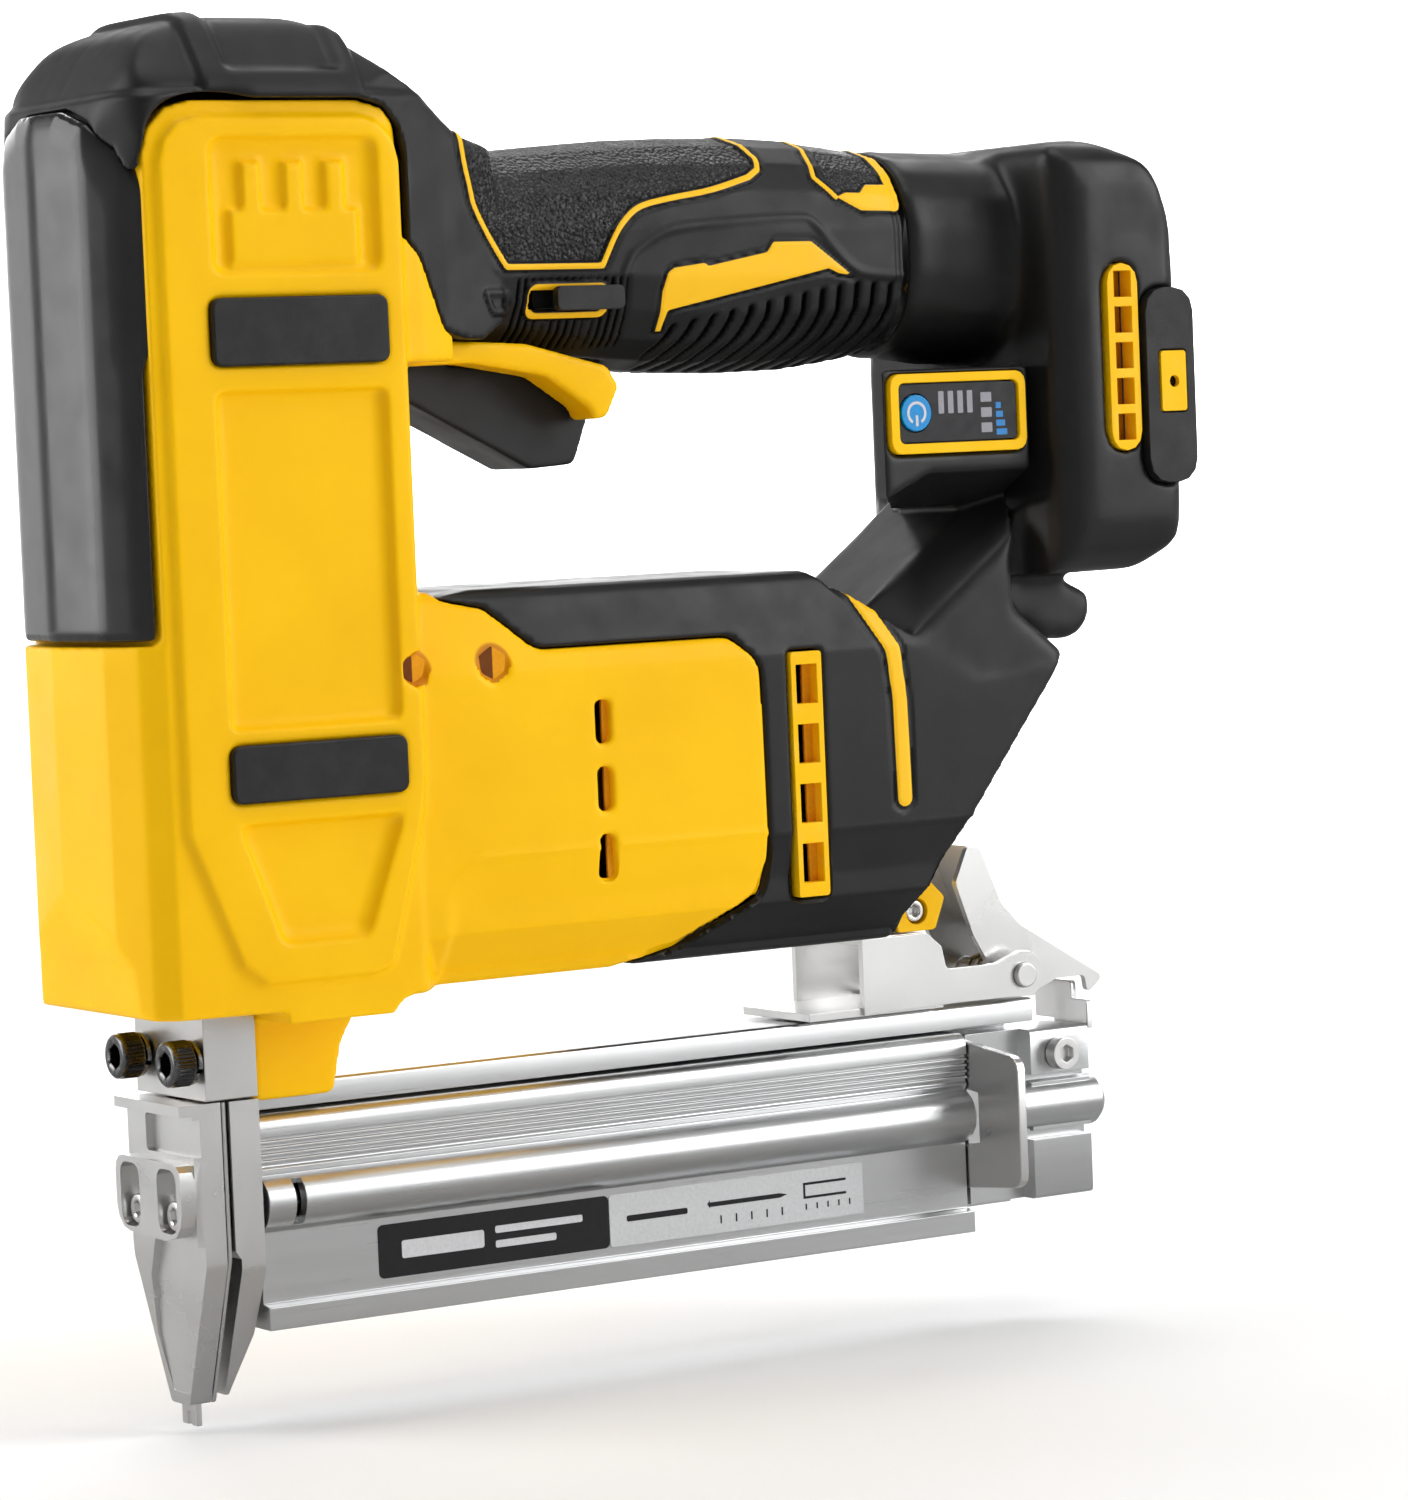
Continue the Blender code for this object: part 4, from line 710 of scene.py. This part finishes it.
def grip_grain(points, normals):
    """Leather-grained areas inside the yellow lines."""
    x, z = points[:, 0], points[:, 2]
    first = inside_distance(x, z, GRIP_LINE) - 0.7
    second = inside_distance(x, z, REAR_PATCH) - 0.2
    found = np.maximum(first, second)
    return np.where(outward(points, normals), found, -3)


def rib_groove(x, z):
    """1 along the middle of each groove of the lower grip, 0 between them."""
    drop = np.minimum(z - 202, 2.5)
    slant = x - 0.3 * drop + 0.06 * drop**2
    return 0.5 + 0.5 * np.cos(2 * math.pi * (slant - RIB_FOOT) / RIB_PITCH)


def rib_area(points):
    """1 on the ribbed lower part of the handle, 0 off it."""
    x, y, z = points.T
    return step(inside_distance(x, z, RIBBED), 0.0, 1.0) * step(np.abs(y), 2, 5) * (x < RIB_REAR)


def lock_groove(x):
    """The finer grooves round the lock slider."""
    return 0.5 + 0.5 * np.cos(2 * math.pi * x / LOCK_RIB_PITCH)


def lock_area(points):
    """1 on the finely ribbed patch round the lock slider, 0 off it."""
    x, y, z = points.T
    area = step(inside_distance(x, z, LOCK_RIBS), 0.0, 0.6) * (y < LOCK_SIDE)
    return area * (1 - step(inside_distance(x, z, SLIDER_FRAME), -0.8, -0.2))


def grip_shade(points, normals):
    """Grooves, and the lines beside the inlays, where light hardly reaches."""
    x, y, z = points.T
    found = rib_area(points) * (rib_groove(x, z) - 0.78) * 2.2
    found = np.maximum(found, lock_area(points) * (lock_groove(x) - 0.72) * 1.6)
    mark = inside_distance(x, z, LOCK_MARK)
    outlines = np.maximum(0.22 - np.abs(mark + 0.2), 0.25 - np.abs(mark - 1.3))
    found = np.maximum(found, np.where(y < LOCK_SIDE, outlines, -1))
    accent = grip_accent(points, normals)
    found = np.maximum(found, 0.28 - np.abs(accent + 0.36))
    return np.where(outward(points, normals), found, -3)


def grip_shape(points, normals):
    """Relief of the cap's band, the handle's lines, badge and ribs."""
    x, y, z = points.T
    out = outward(points, normals)
    height = np.zeros(len(x))
    accent = grip_accent(points, normals)
    height += 0.22 * step(accent, -0.2, 0.25)
    height -= 0.30 * window(accent, -0.75, -0.25, 0.2)
    height -= 0.18 * step(grip_grain(points, normals), 0, 0.6)
    fold = path_distance(x, z, CREASE)
    height += np.where(np.abs(y) > 8, 0.32 * (1 - step(fold, 0.1, 1.3)), 0)
    height += rib_area(points) * (0.12 - 1.3 * rib_groove(x, z) ** 5)
    height -= lock_area(points) * 0.5 * lock_groove(x) ** 2
    mark = inside_distance(x, z, LOCK_MARK)
    height += 0.45 * step(mark, -0.3, 0.3) * (y < LOCK_SIDE) * (1 - step(mark, 0.8, 1.3))
    ring = np.minimum(np.abs(x - 157.6), 9)
    height -= 0.35 * (1 - step(ring, 0.25, 0.8)) * (x > 150)
    height = np.where(out, height, 0)
    top = step(z, 244.5, 247.0) * (1 - step(x, 41, 50))
    band = window(x, *CAP_BAND, 1.0)
    hollow = window(x, *CAP_HOLLOW, 1.5) * step(z, 249.0, 251.6)
    cap = -1.3 * top + 1.3 * top * band - 1.15 * hollow * band
    return height + np.where((z > 244) & out, cap, 0)


def arch_distance(points):
    """Distance to the arch where the cap meets the front guard, seen from the front."""
    return path_distance(np.abs(points[:, 1]), points[:, 2], GUARD_ARCH)


def cap_softness(points):
    """Where the cap and shoulder are rounder than the CAD solid's edges."""
    x, z = points[:, 0], points[:, 2]
    cap = 0.2 * step(z, 243, 250) * (1 - step(x, 56, 64))
    shoulder = 0.4 * window(x, 46, 72, 4) * step(z, 224, 232)
    dome = step(z, 232, 244) * (1 - step(x, 2, 12))
    front = 0.25 * step(-x, 8, 13)
    soft = np.maximum.reduce([cap, shoulder, dome, front])
    rim = np.where(x < -6, step(arch_distance(points), 0.8, 4), 1)
    return np.clip(soft * rim, 0, 1)


def arch_lip():
    """A lip under the cap's front edge that closes the gap over the guard's arch."""
    half = GUARD_ARCH[3:-1]
    arch = half + [(-y, z) for y, z in reversed(half)]
    points, faces = [], []
    for y, z in arch:
        for x, scale in ((-12.9, 1.05), (-11.8, 1.05), (-11.8, 0.86), (-12.9, 0.86)):
            points.append((x, y * scale, 225 + (z - 225) * scale))
    for row in range(len(arch) - 1):
        for k in range(4):
            a, b = row * 4 + k, row * 4 + (k + 1) % 4
            faces.append((a, b, b + 4, a + 4))
    last = 4 * (len(arch) - 1)
    faces += [(0, 1, 2, 3), (last, last + 1, last + 2, last + 3)]
    add("cap_lip", mesh_from(points, faces, "cap_lip"), "black_rubber")


def upper_shells():
    for word, sign in SIDES:
        moulded(
            f"upper_shell_{word}",
            f"handle_and_cap_{word}",
            "black_rubber",
            0.55,
            4,
            shape=grip_shape,
            masks={"accent": grip_accent, "grain": grip_grain, "shade": grip_shade},
            soft=cap_softness,
            softer=280,
            sign=sign,
        )


# ---------------------------------------------------------------- other shells


PANEL_HOLLOWS = (
    box_outline(0.5, 36, 212.5, 238, 3),
    box_outline(0, 36, 130, 192, 2),
    [(0.5, 113.5), (36, 113.5), (27.6, 91.4), (26, 90.2), (10, 90.2), (8.4, 91.4)],
)
PANEL_BLOCKS = [box_outline(5, 31.5, 214.5, 224.5)]
PANEL_BLOCKS += [box_outline(x, x + 4, 222, 233) for x in (7.5, 16.2, 24.8)]
SCREW_POCKETS = ((39.7, 139.3), (57.0, 139.3))


def motor_shape(points, normals):
    """The motor cover leans in below its crease, which stands a little proud."""
    x, y, z = points.T
    crease = MOTOR_CREASE - 10.5 * np.clip((54 - x) / 12, 0, 1) ** 2
    lean = np.clip((crease - z) / 9, 0, 1) * step(x, 44, 47)
    ridge = 0.22 * (1 - step(np.abs(z - crease), 0.2, 0.9)) * step(x, 44, 50)
    return np.where(np.abs(y) > 20, ridge - 1.0 * lean, 0) * (normals[:, 1] * y > 0)


def panel_shape(points, normals):
    """Deeper hollows and crisper blocks on the side panels."""
    x, y, z = points.T
    height = motor_shape(points, normals) * (x > 43)
    hollow = np.zeros(len(x))
    for outline in PANEL_HOLLOWS:
        hollow = np.maximum(hollow, step(inside_distance(x, z, outline), -0.1, 1.5))
    raised = np.full(len(x), -9.0)
    for outline in PANEL_BLOCKS:
        raised = np.maximum(raised, inside_distance(x, z, outline))
    relief = 0.45 * step(raised, -0.25, 0.2) - 0.7 * hollow
    return height + np.where((np.abs(y) > 25.3) & (normals[:, 1] * y > 0) & (x < 38), relief, 0)


def pocket_depth(points, normals):
    """Distance inside the screw pockets, which lie in shade."""
    x, y, z = points.T
    found = np.full(len(x), -3.0)
    for u, v in SCREW_POCKETS:
        found = np.maximum(found, 4.2 - np.hypot(x - u, z - v))
    return np.where(np.abs(y) < np.where(x < 43, 26.3, 25.75), found, -3)


def main_shells():
    for word, sign in SIDES:
        moulded(
            f"main_shell_{word}",
            f"yellow_housing_{word}",
            "yellow_plastic",
            0.68,
            2,
            shape=panel_shape,
            masks={"deep": pocket_depth},
            sign=sign,
        )


STRIPE = [(133.2, 156), (135.2, 154.6), (137.8, 151.4), (140.8, 148.9), (147.3, 136.8)]
STRIPE += [(148.5, 126.9), (148.8, 107.6)]


def stripe_accent(points, normals):
    """Yellow stripe round the motor housing's rear."""
    x, z = points[:, 0], points[:, 2]
    found = 1.75 - path_distance(x, z, STRIPE)
    return np.where((np.abs(points[:, 1]) > 16) & (normals[:, 1] * points[:, 1] > 0), found, -3)


def rear_shape(points, normals):
    """A shallow channel round the stripe, and the housing's lower lean."""
    accent = stripe_accent(points, normals)
    height = 0.25 * step(accent, -0.1, 0.3) - 0.4 * window(accent, -0.8, -0.2, 0.25)
    return height + motor_shape(points, normals) * (points[:, 2] < MOTOR_CREASE)


def rear_softness(points):
    """The neck flows into the housing behind the stripe."""
    x, z = points[:, 0], points[:, 2]
    return 0.9 * step(x, 151, 158) * step(z, 128, 136) * (1 - step(z, 158, 163))


def rear_shells():
    for word, sign in SIDES:
        moulded(
            f"rear_shell_{word}",
            f"motor_and_neck_{word}",
            "black_plastic",
            0.62,
            4,
            shape=rear_shape,
            masks={"accent": stripe_accent},
            soft=rear_softness,
            softer=60,
            sign=sign,
        )


def foot_softness(points):
    """Where the foot's blend into the handle, its rim and its corners are rounder."""
    x, _, z = points.T
    reach = step(z, 190, 196) * (1 - step(x, 184, 188))
    rim = step(z, 216, 224) + (1 - step(z, 158, 166)) * step(x, 183, 186)
    front = step(x, 184, 186) * (1 - step(x, 192, 196)) * 0.6
    return np.clip(np.maximum.reduce([reach, rim, front]), 0, 1)


def foot_shells():
    for word, sign in SIDES:
        moulded(
            f"foot_shell_{word}",
            f"battery_foot_{word}",
            "black_plastic",
            0.62,
            7,
            soft=foot_softness,
            softer=60,
            sign=sign,
        )


def guard_softness(points):
    return 0.9 * step(arch_distance(points), 1.5, 5)


def guard_shape(points, normals):
    """The guard rolls back towards the tower along its arched top."""
    near = 1 - np.clip(arch_distance(points) / 6, 0, 1)
    return np.outer(near**2, (1.3, 0, 0))


def guard():
    moulded(
        "front_guard",
        "front_guard_gloss",
        "guard_plastic",
        0.45,
        16,
        shape=guard_shape,
        soft=guard_softness,
        softer=80,
    )


def trigger():
    moulded("trigger", "trigger_lever", "black_plastic", 0.4, 8)


# ---------------------------------------------------------------- fasteners


def fasteners():
    for word, sign in SIDES:
        socket_bolt(
            f"nose_bolt_{word}_detailed",
            "black_steel",
            (-sign * BOLT_Y, BOLT_Z),
            *bolt_reach(f"nose_bolt_{word}"),
            4.3,
            2.4,
            f"nose_bolt_{word}",
            washer=1.3,
        )
        socket_bolt(
            f"cover_screw_{word}_detailed",
            "nickel",
            (-sign * SCREW_Y, SCREW_Z),
            *bolt_reach(f"cover_screw_{word}", 2.2),
            2.85,
            1.8,
            f"cover_screw_{word}",
        )


def bolt_reach(node, head=4.6):
    """Head face, seat and tip of a CAD bolt along X, in millimetres."""
    low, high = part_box(node)
    return low.x / MM, low.x / MM + head, high.x / MM


# ---------------------------------------------------------------- labels and marks


def printed(name, outline, look, body):
    """A thin printed mark on the magazine's label."""
    top, base = MAGAZINE_FACE - 0.17, MAGAZINE_FACE - 0.13
    plate(name, outline, top, base, "label_plastic", look, (), body, 0)


def magazine_label():
    """A printed label with generic marks: a dark field, a pale field, ticks and outlines."""
    body = frame["nodes"]["magazine_slide"]["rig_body"]
    face = MAGAZINE_FACE
    dark = box_outline(35, 86, 24.2, 34.4, 1.1)
    plate("label_dark", dark, face - 0.14, face, "label_plastic", DARK_INK, body=body, ease=0.04)
    pale = box_outline(86.1, 145.5, 24.2, 34.4, 0.8)
    plate("label_pale", pale, face - 0.14, face, "aluminium", PALE_FILM, body=body, ease=0.04)
    rules = [box_outline(40, 58, 27.6, 31.0, 0.5), box_outline(60.5, 80, 30.0, 31.4, 0.4)]
    rules.append(box_outline(60.5, 74, 27.2, 28.6, 0.4))
    for k, outline in enumerate(rules):
        printed(f"label_rule_{k}", outline, WHITE_INK, body)
    ticks = [(111.5 + 3.6 * k, 26.0, 27.6) for k in range(5)]
    ticks += [(131.6 + 2.6 * k, 26.4, 27.6) for k in range(5)]
    marks = [box_outline(x, x + 0.35, low, high) for x, low, high in ticks]
    nail = [(108.6, 30.1), (109.2, 29.2), (109.2, 29.5), (125.6, 29.5), (127.4, 30)]
    marks.append([*nail, (125.6, 30.4), (109.2, 30.4), (109.2, 30.9)])
    marks.append(box_outline(90, 104, 28.8, 30.0, 0.4))
    for k, outline in enumerate(marks):
        printed(f"label_mark_{k}", outline, DARK_INK, body)
    staple = [(131.2, 28.6), (141.4, 28.6), (141.4, 29.1), (131.7, 29.1)]
    staple += [(131.7, 31.3), (141.4, 31.3), (141.4, 31.8), (131.2, 31.8)]
    printed("label_staple", staple, DARK_INK, body)


def panel_marks():
    """Bars, battery outlines and the power ring on the control panel."""
    face = PANEL_FACE
    for k in range(4):
        x = 159.2 + 2.3 * k
        bar = box_outline(x, x + 1.3, 182.6, 187.0, 0.2)
        plate(f"panel_bar_{k}", bar, face - 0.06, face + 0.1, "label_plastic", GREY_INK, ease=0)
    for k in range(3):
        low = 178.6 + 3.0 * k
        cell = box_outline(169.4, 172.0, low, low + 1.9, 0.2)
        plate(f"panel_cell_{k}", cell, face - 0.06, face + 0.1, "label_plastic", GREY_INK, ease=0)
    for k in range(4):
        low = 178.0 + 1.75 * k
        cell = box_outline(173.0, 175.6 - 0.45 * k, low, low + 1.2, 0.1)
        plate(f"panel_level_{k}", cell, face - 0.06, face + 0.1, "label_plastic", BLUE_INK, ease=0)
    low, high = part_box("power_button")
    x, z = (low.x + high.x) / 2 / MM, (low.z + high.z) / 2 / MM
    front = low.y / MM
    ring = []
    for radius, order in ((2.3, 1), (1.75, -1)):
        angles = [math.radians(-60 + 300 * k / 24) for k in range(25)][::order]
        ring += [(x + radius * math.cos(a), z + radius * math.sin(a)) for a in angles]
    body = "power_button"
    plate("power_ring", ring, front - 0.05, front + 0.1, "blue_button", WHITE_INK, (), body, 0)
    bar = box_outline(x - 0.3, x + 0.3, z - 2.6, z - 0.4, 0.2)
    plate("power_bar", bar, front - 0.05, front + 0.1, "blue_button", WHITE_INK, (), body, 0)


def linings():
    """Linings in painted light seen through vents and slots, and the six-sided bottoms of the screw
    pockets, painted as a shaded half and a lit half.
    """
    for word, sign in SIDES:
        places = [(f"motor_lining_{word}", box_outline(127.0, 129.7, 92.2, 136), 24.2)]
        places.append((f"foot_lining_{word}", box_outline(199.4, 201.8, 175, 210), FOOT_LINING))
        for k, low in enumerate((97.2, 110, 122.8)):
            slot = box_outline(80.9, 82.2, low, low + 8.4)
            places.append((f"slot_lining_{word}_{k}", slot, 24.4))
        for name, outline, depth in places:
            ends = (-sign * depth, -sign * (depth - LINING_THICK))
            plate(name, outline, *ends, "yellow_plastic", LINING, ease=0)
        for k, (x, z) in enumerate(SCREW_POCKETS):
            turns = [math.radians(90 + 60 * n) for n in range(4)]
            far = [(x + 3.2 * math.cos(a), z + 3.2 * math.sin(a)) for a in turns]
            near = [(2 * x - u, v) for u, v in far]
            # the far half is painted shade and the near half painted light
            for tone, outline, look in (("dark", far, SHADED_LINING), ("lit", near[::-1], LINING)):
                name = f"pocket_{tone}_{word}_{k}"
                ends = (-sign * POCKET_FLOOR, -sign * (POCKET_FLOOR - LINING_THICK))
                plate(name, outline, *ends, "yellow_plastic", look, ease=0)


# ---------------------------------------------------------------- CAD nodes that stay

EASE = {
    "nickel": 0.35,
    "aluminium": 0.18,
    "black_steel": 0.3,
    "black_plastic": 0.35,
    "black_rubber": 0.45,
    "yellow_plastic": 0.25,
    "label_plastic": 0.2,
    "blue_button": 0.2,
}


def carried_nodes():
    """Give every CAD node its material and smooth shading, and eased edges to the shown ones whose
    material is listed in EASE.
    """
    slots = {s["node"]: s["material_slot"] for s in frame["record"]["subparts"]}
    for name, node in NODES.items():
        node.data.materials.clear()
        node.data.materials.append(LOOKS[slots[name]])
        imported = node.data.attributes.get("custom_normal")
        if imported:
            node.data.attributes.remove(imported)
        node.data.shade_smooth()
        if not node.hide_render and slots[name] in EASE:
            soften_edges(node, EASE[slots[name]])


# ---------------------------------------------------------------- stage


def floor():
    """A pale round floor that curves up into a backdrop on every side."""
    profile = [(0, 0), (0.5, 0), (1.5, 0), (2.6, 0.02), (3.2, 0.14)]
    profile += [(3.7, 0.42), (4.0, 0.9), (4.1, 1.6)]
    count = 96
    points = [(0, 0, 0)]
    for radius, height in profile[1:]:
        for k in range(count):
            angle = 2 * math.pi * k / count
            points.append((radius * math.cos(angle), radius * math.sin(angle), height))
    faces = [(0, 1 + k, 1 + (k + 1) % count) for k in range(count)]
    for row in range(len(profile) - 2):
        for k in range(count):
            a, b = 1 + row * count + k, 1 + row * count + (k + 1) % count
            faces.append((a, a + count, b + count, b))
    mesh = bpy.data.meshes.new("floor")
    mesh.from_pydata([(x + 0.1, y, z - 0.0015) for x, y, z in points], [], faces)
    mesh.shade_smooth()
    made = Shader("floor_paint", roughness=0.75)
    made.colour(made.blend(made.noise(4, 2), (0.87, 0.87, 0.87), (0.90, 0.90, 0.90)))
    mesh.materials.append(made.material)
    ground = bpy.data.objects.new("floor", mesh)
    bpy.context.scene.collection.objects.link(ground)


def lamp(name, place, aim, size, power, colour=(1, 1, 1)):
    """A soft rectangular lamp aimed at a point."""
    light = bpy.data.lights.new(name, "AREA")
    light.shape = "RECTANGLE"
    light.size, light.size_y = size
    light.energy = power
    light.color = colour
    holder = bpy.data.objects.new(name, light)
    bpy.context.scene.collection.objects.link(holder)
    holder.location = place
    holder.rotation_mode = "QUATERNION"
    holder.rotation_quaternion = (Vector(aim) - Vector(place)).to_track_quat("-Z", "Y")


def flag(name, outline, height, shade):
    """A flat dark sheet that only reflections see."""
    mesh = bpy.data.meshes.new(name)
    mesh.from_pydata([(x, y, height) for x, y in outline], [], [tuple(range(len(outline)))])
    made = Shader(name, roughness=0.9)
    made.colour(made.blend(made.noise(3, 1), (shade,) * 3, (1.2 * shade,) * 3))
    mesh.materials.append(made.material)
    sheet = bpy.data.objects.new(name, mesh)
    bpy.context.scene.collection.objects.link(sheet)
    sheet.visible_camera = False
    sheet.visible_diffuse = False
    sheet.visible_shadow = False


def lights():
    aim = (0.1, 0, 0.13)
    ring = [math.radians(15 * k) for k in range(24)]
    flag("flag", [(0.1 + 1.3 * math.cos(a), 1.3 * math.sin(a)) for a in ring], -0.001, 0.3)
    lamp("left", (-1.2, 0.75, 0.6), aim, (1.0, 1.3), 17)
    lamp("right", (1.35, -1.15, 0.75), aim, (1.0, 1.3), 20)
    lamp("top", (0.1, -0.25, 1.6), aim, (1.3, 1.1), 11)
    lamp("backdrop", (1.5, 2.2, 1.5), (2.4, 3.5, 0.1), (3.2, 1.2), 120)
    lamp("backdrop_floor", (0.9, 1.3, 1.6), (1.3, 2.0, 0), (1.6, 1.6), 40)
    world = bpy.data.worlds.new("studio")
    world.use_nodes = True
    tree = world.node_tree
    background = tree.nodes["Background"]
    background.inputs["Color"].default_value = (1, 1, 1, 1)
    background.inputs["Strength"].default_value = 0.17
    bpy.context.scene.world = world
    bpy.context.scene.view_settings.view_transform = "Standard"


def camera():
    """The camera at the reference view."""
    a, e, r = (math.radians(v) for v in (AZIMUTH, PITCH, ROLL))
    back = Vector((math.sin(a) * math.cos(e), -math.cos(a) * math.cos(e), math.sin(e)))
    level = (-back).cross(Vector((0, 0, 1))).normalized()
    upward = level.cross(-back)
    right = level * math.cos(r) + upward * math.sin(r)
    up = upward * math.cos(r) - level * math.sin(r)
    data = bpy.data.cameras.new("camera")
    data.sensor_width = 36
    data.lens = FOCAL_LENGTH
    data.clip_start, data.clip_end = 0.05, 20
    holder = bpy.data.objects.new("camera", data)
    bpy.context.scene.collection.objects.link(holder)
    turn = Matrix((right, up, back)).transposed().to_4x4()
    holder.matrix_world = Matrix.Translation(CAMERA_AT) @ turn
    bpy.context.scene.camera = holder


camera()
floor()
lights()
upper_shells()
arch_lip()
main_shells()
rear_shells()
foot_shells()
guard()
trigger()
fasteners()
magazine_label()
panel_marks()
linings()
carried_nodes()

bpy.context.view_layer.update()
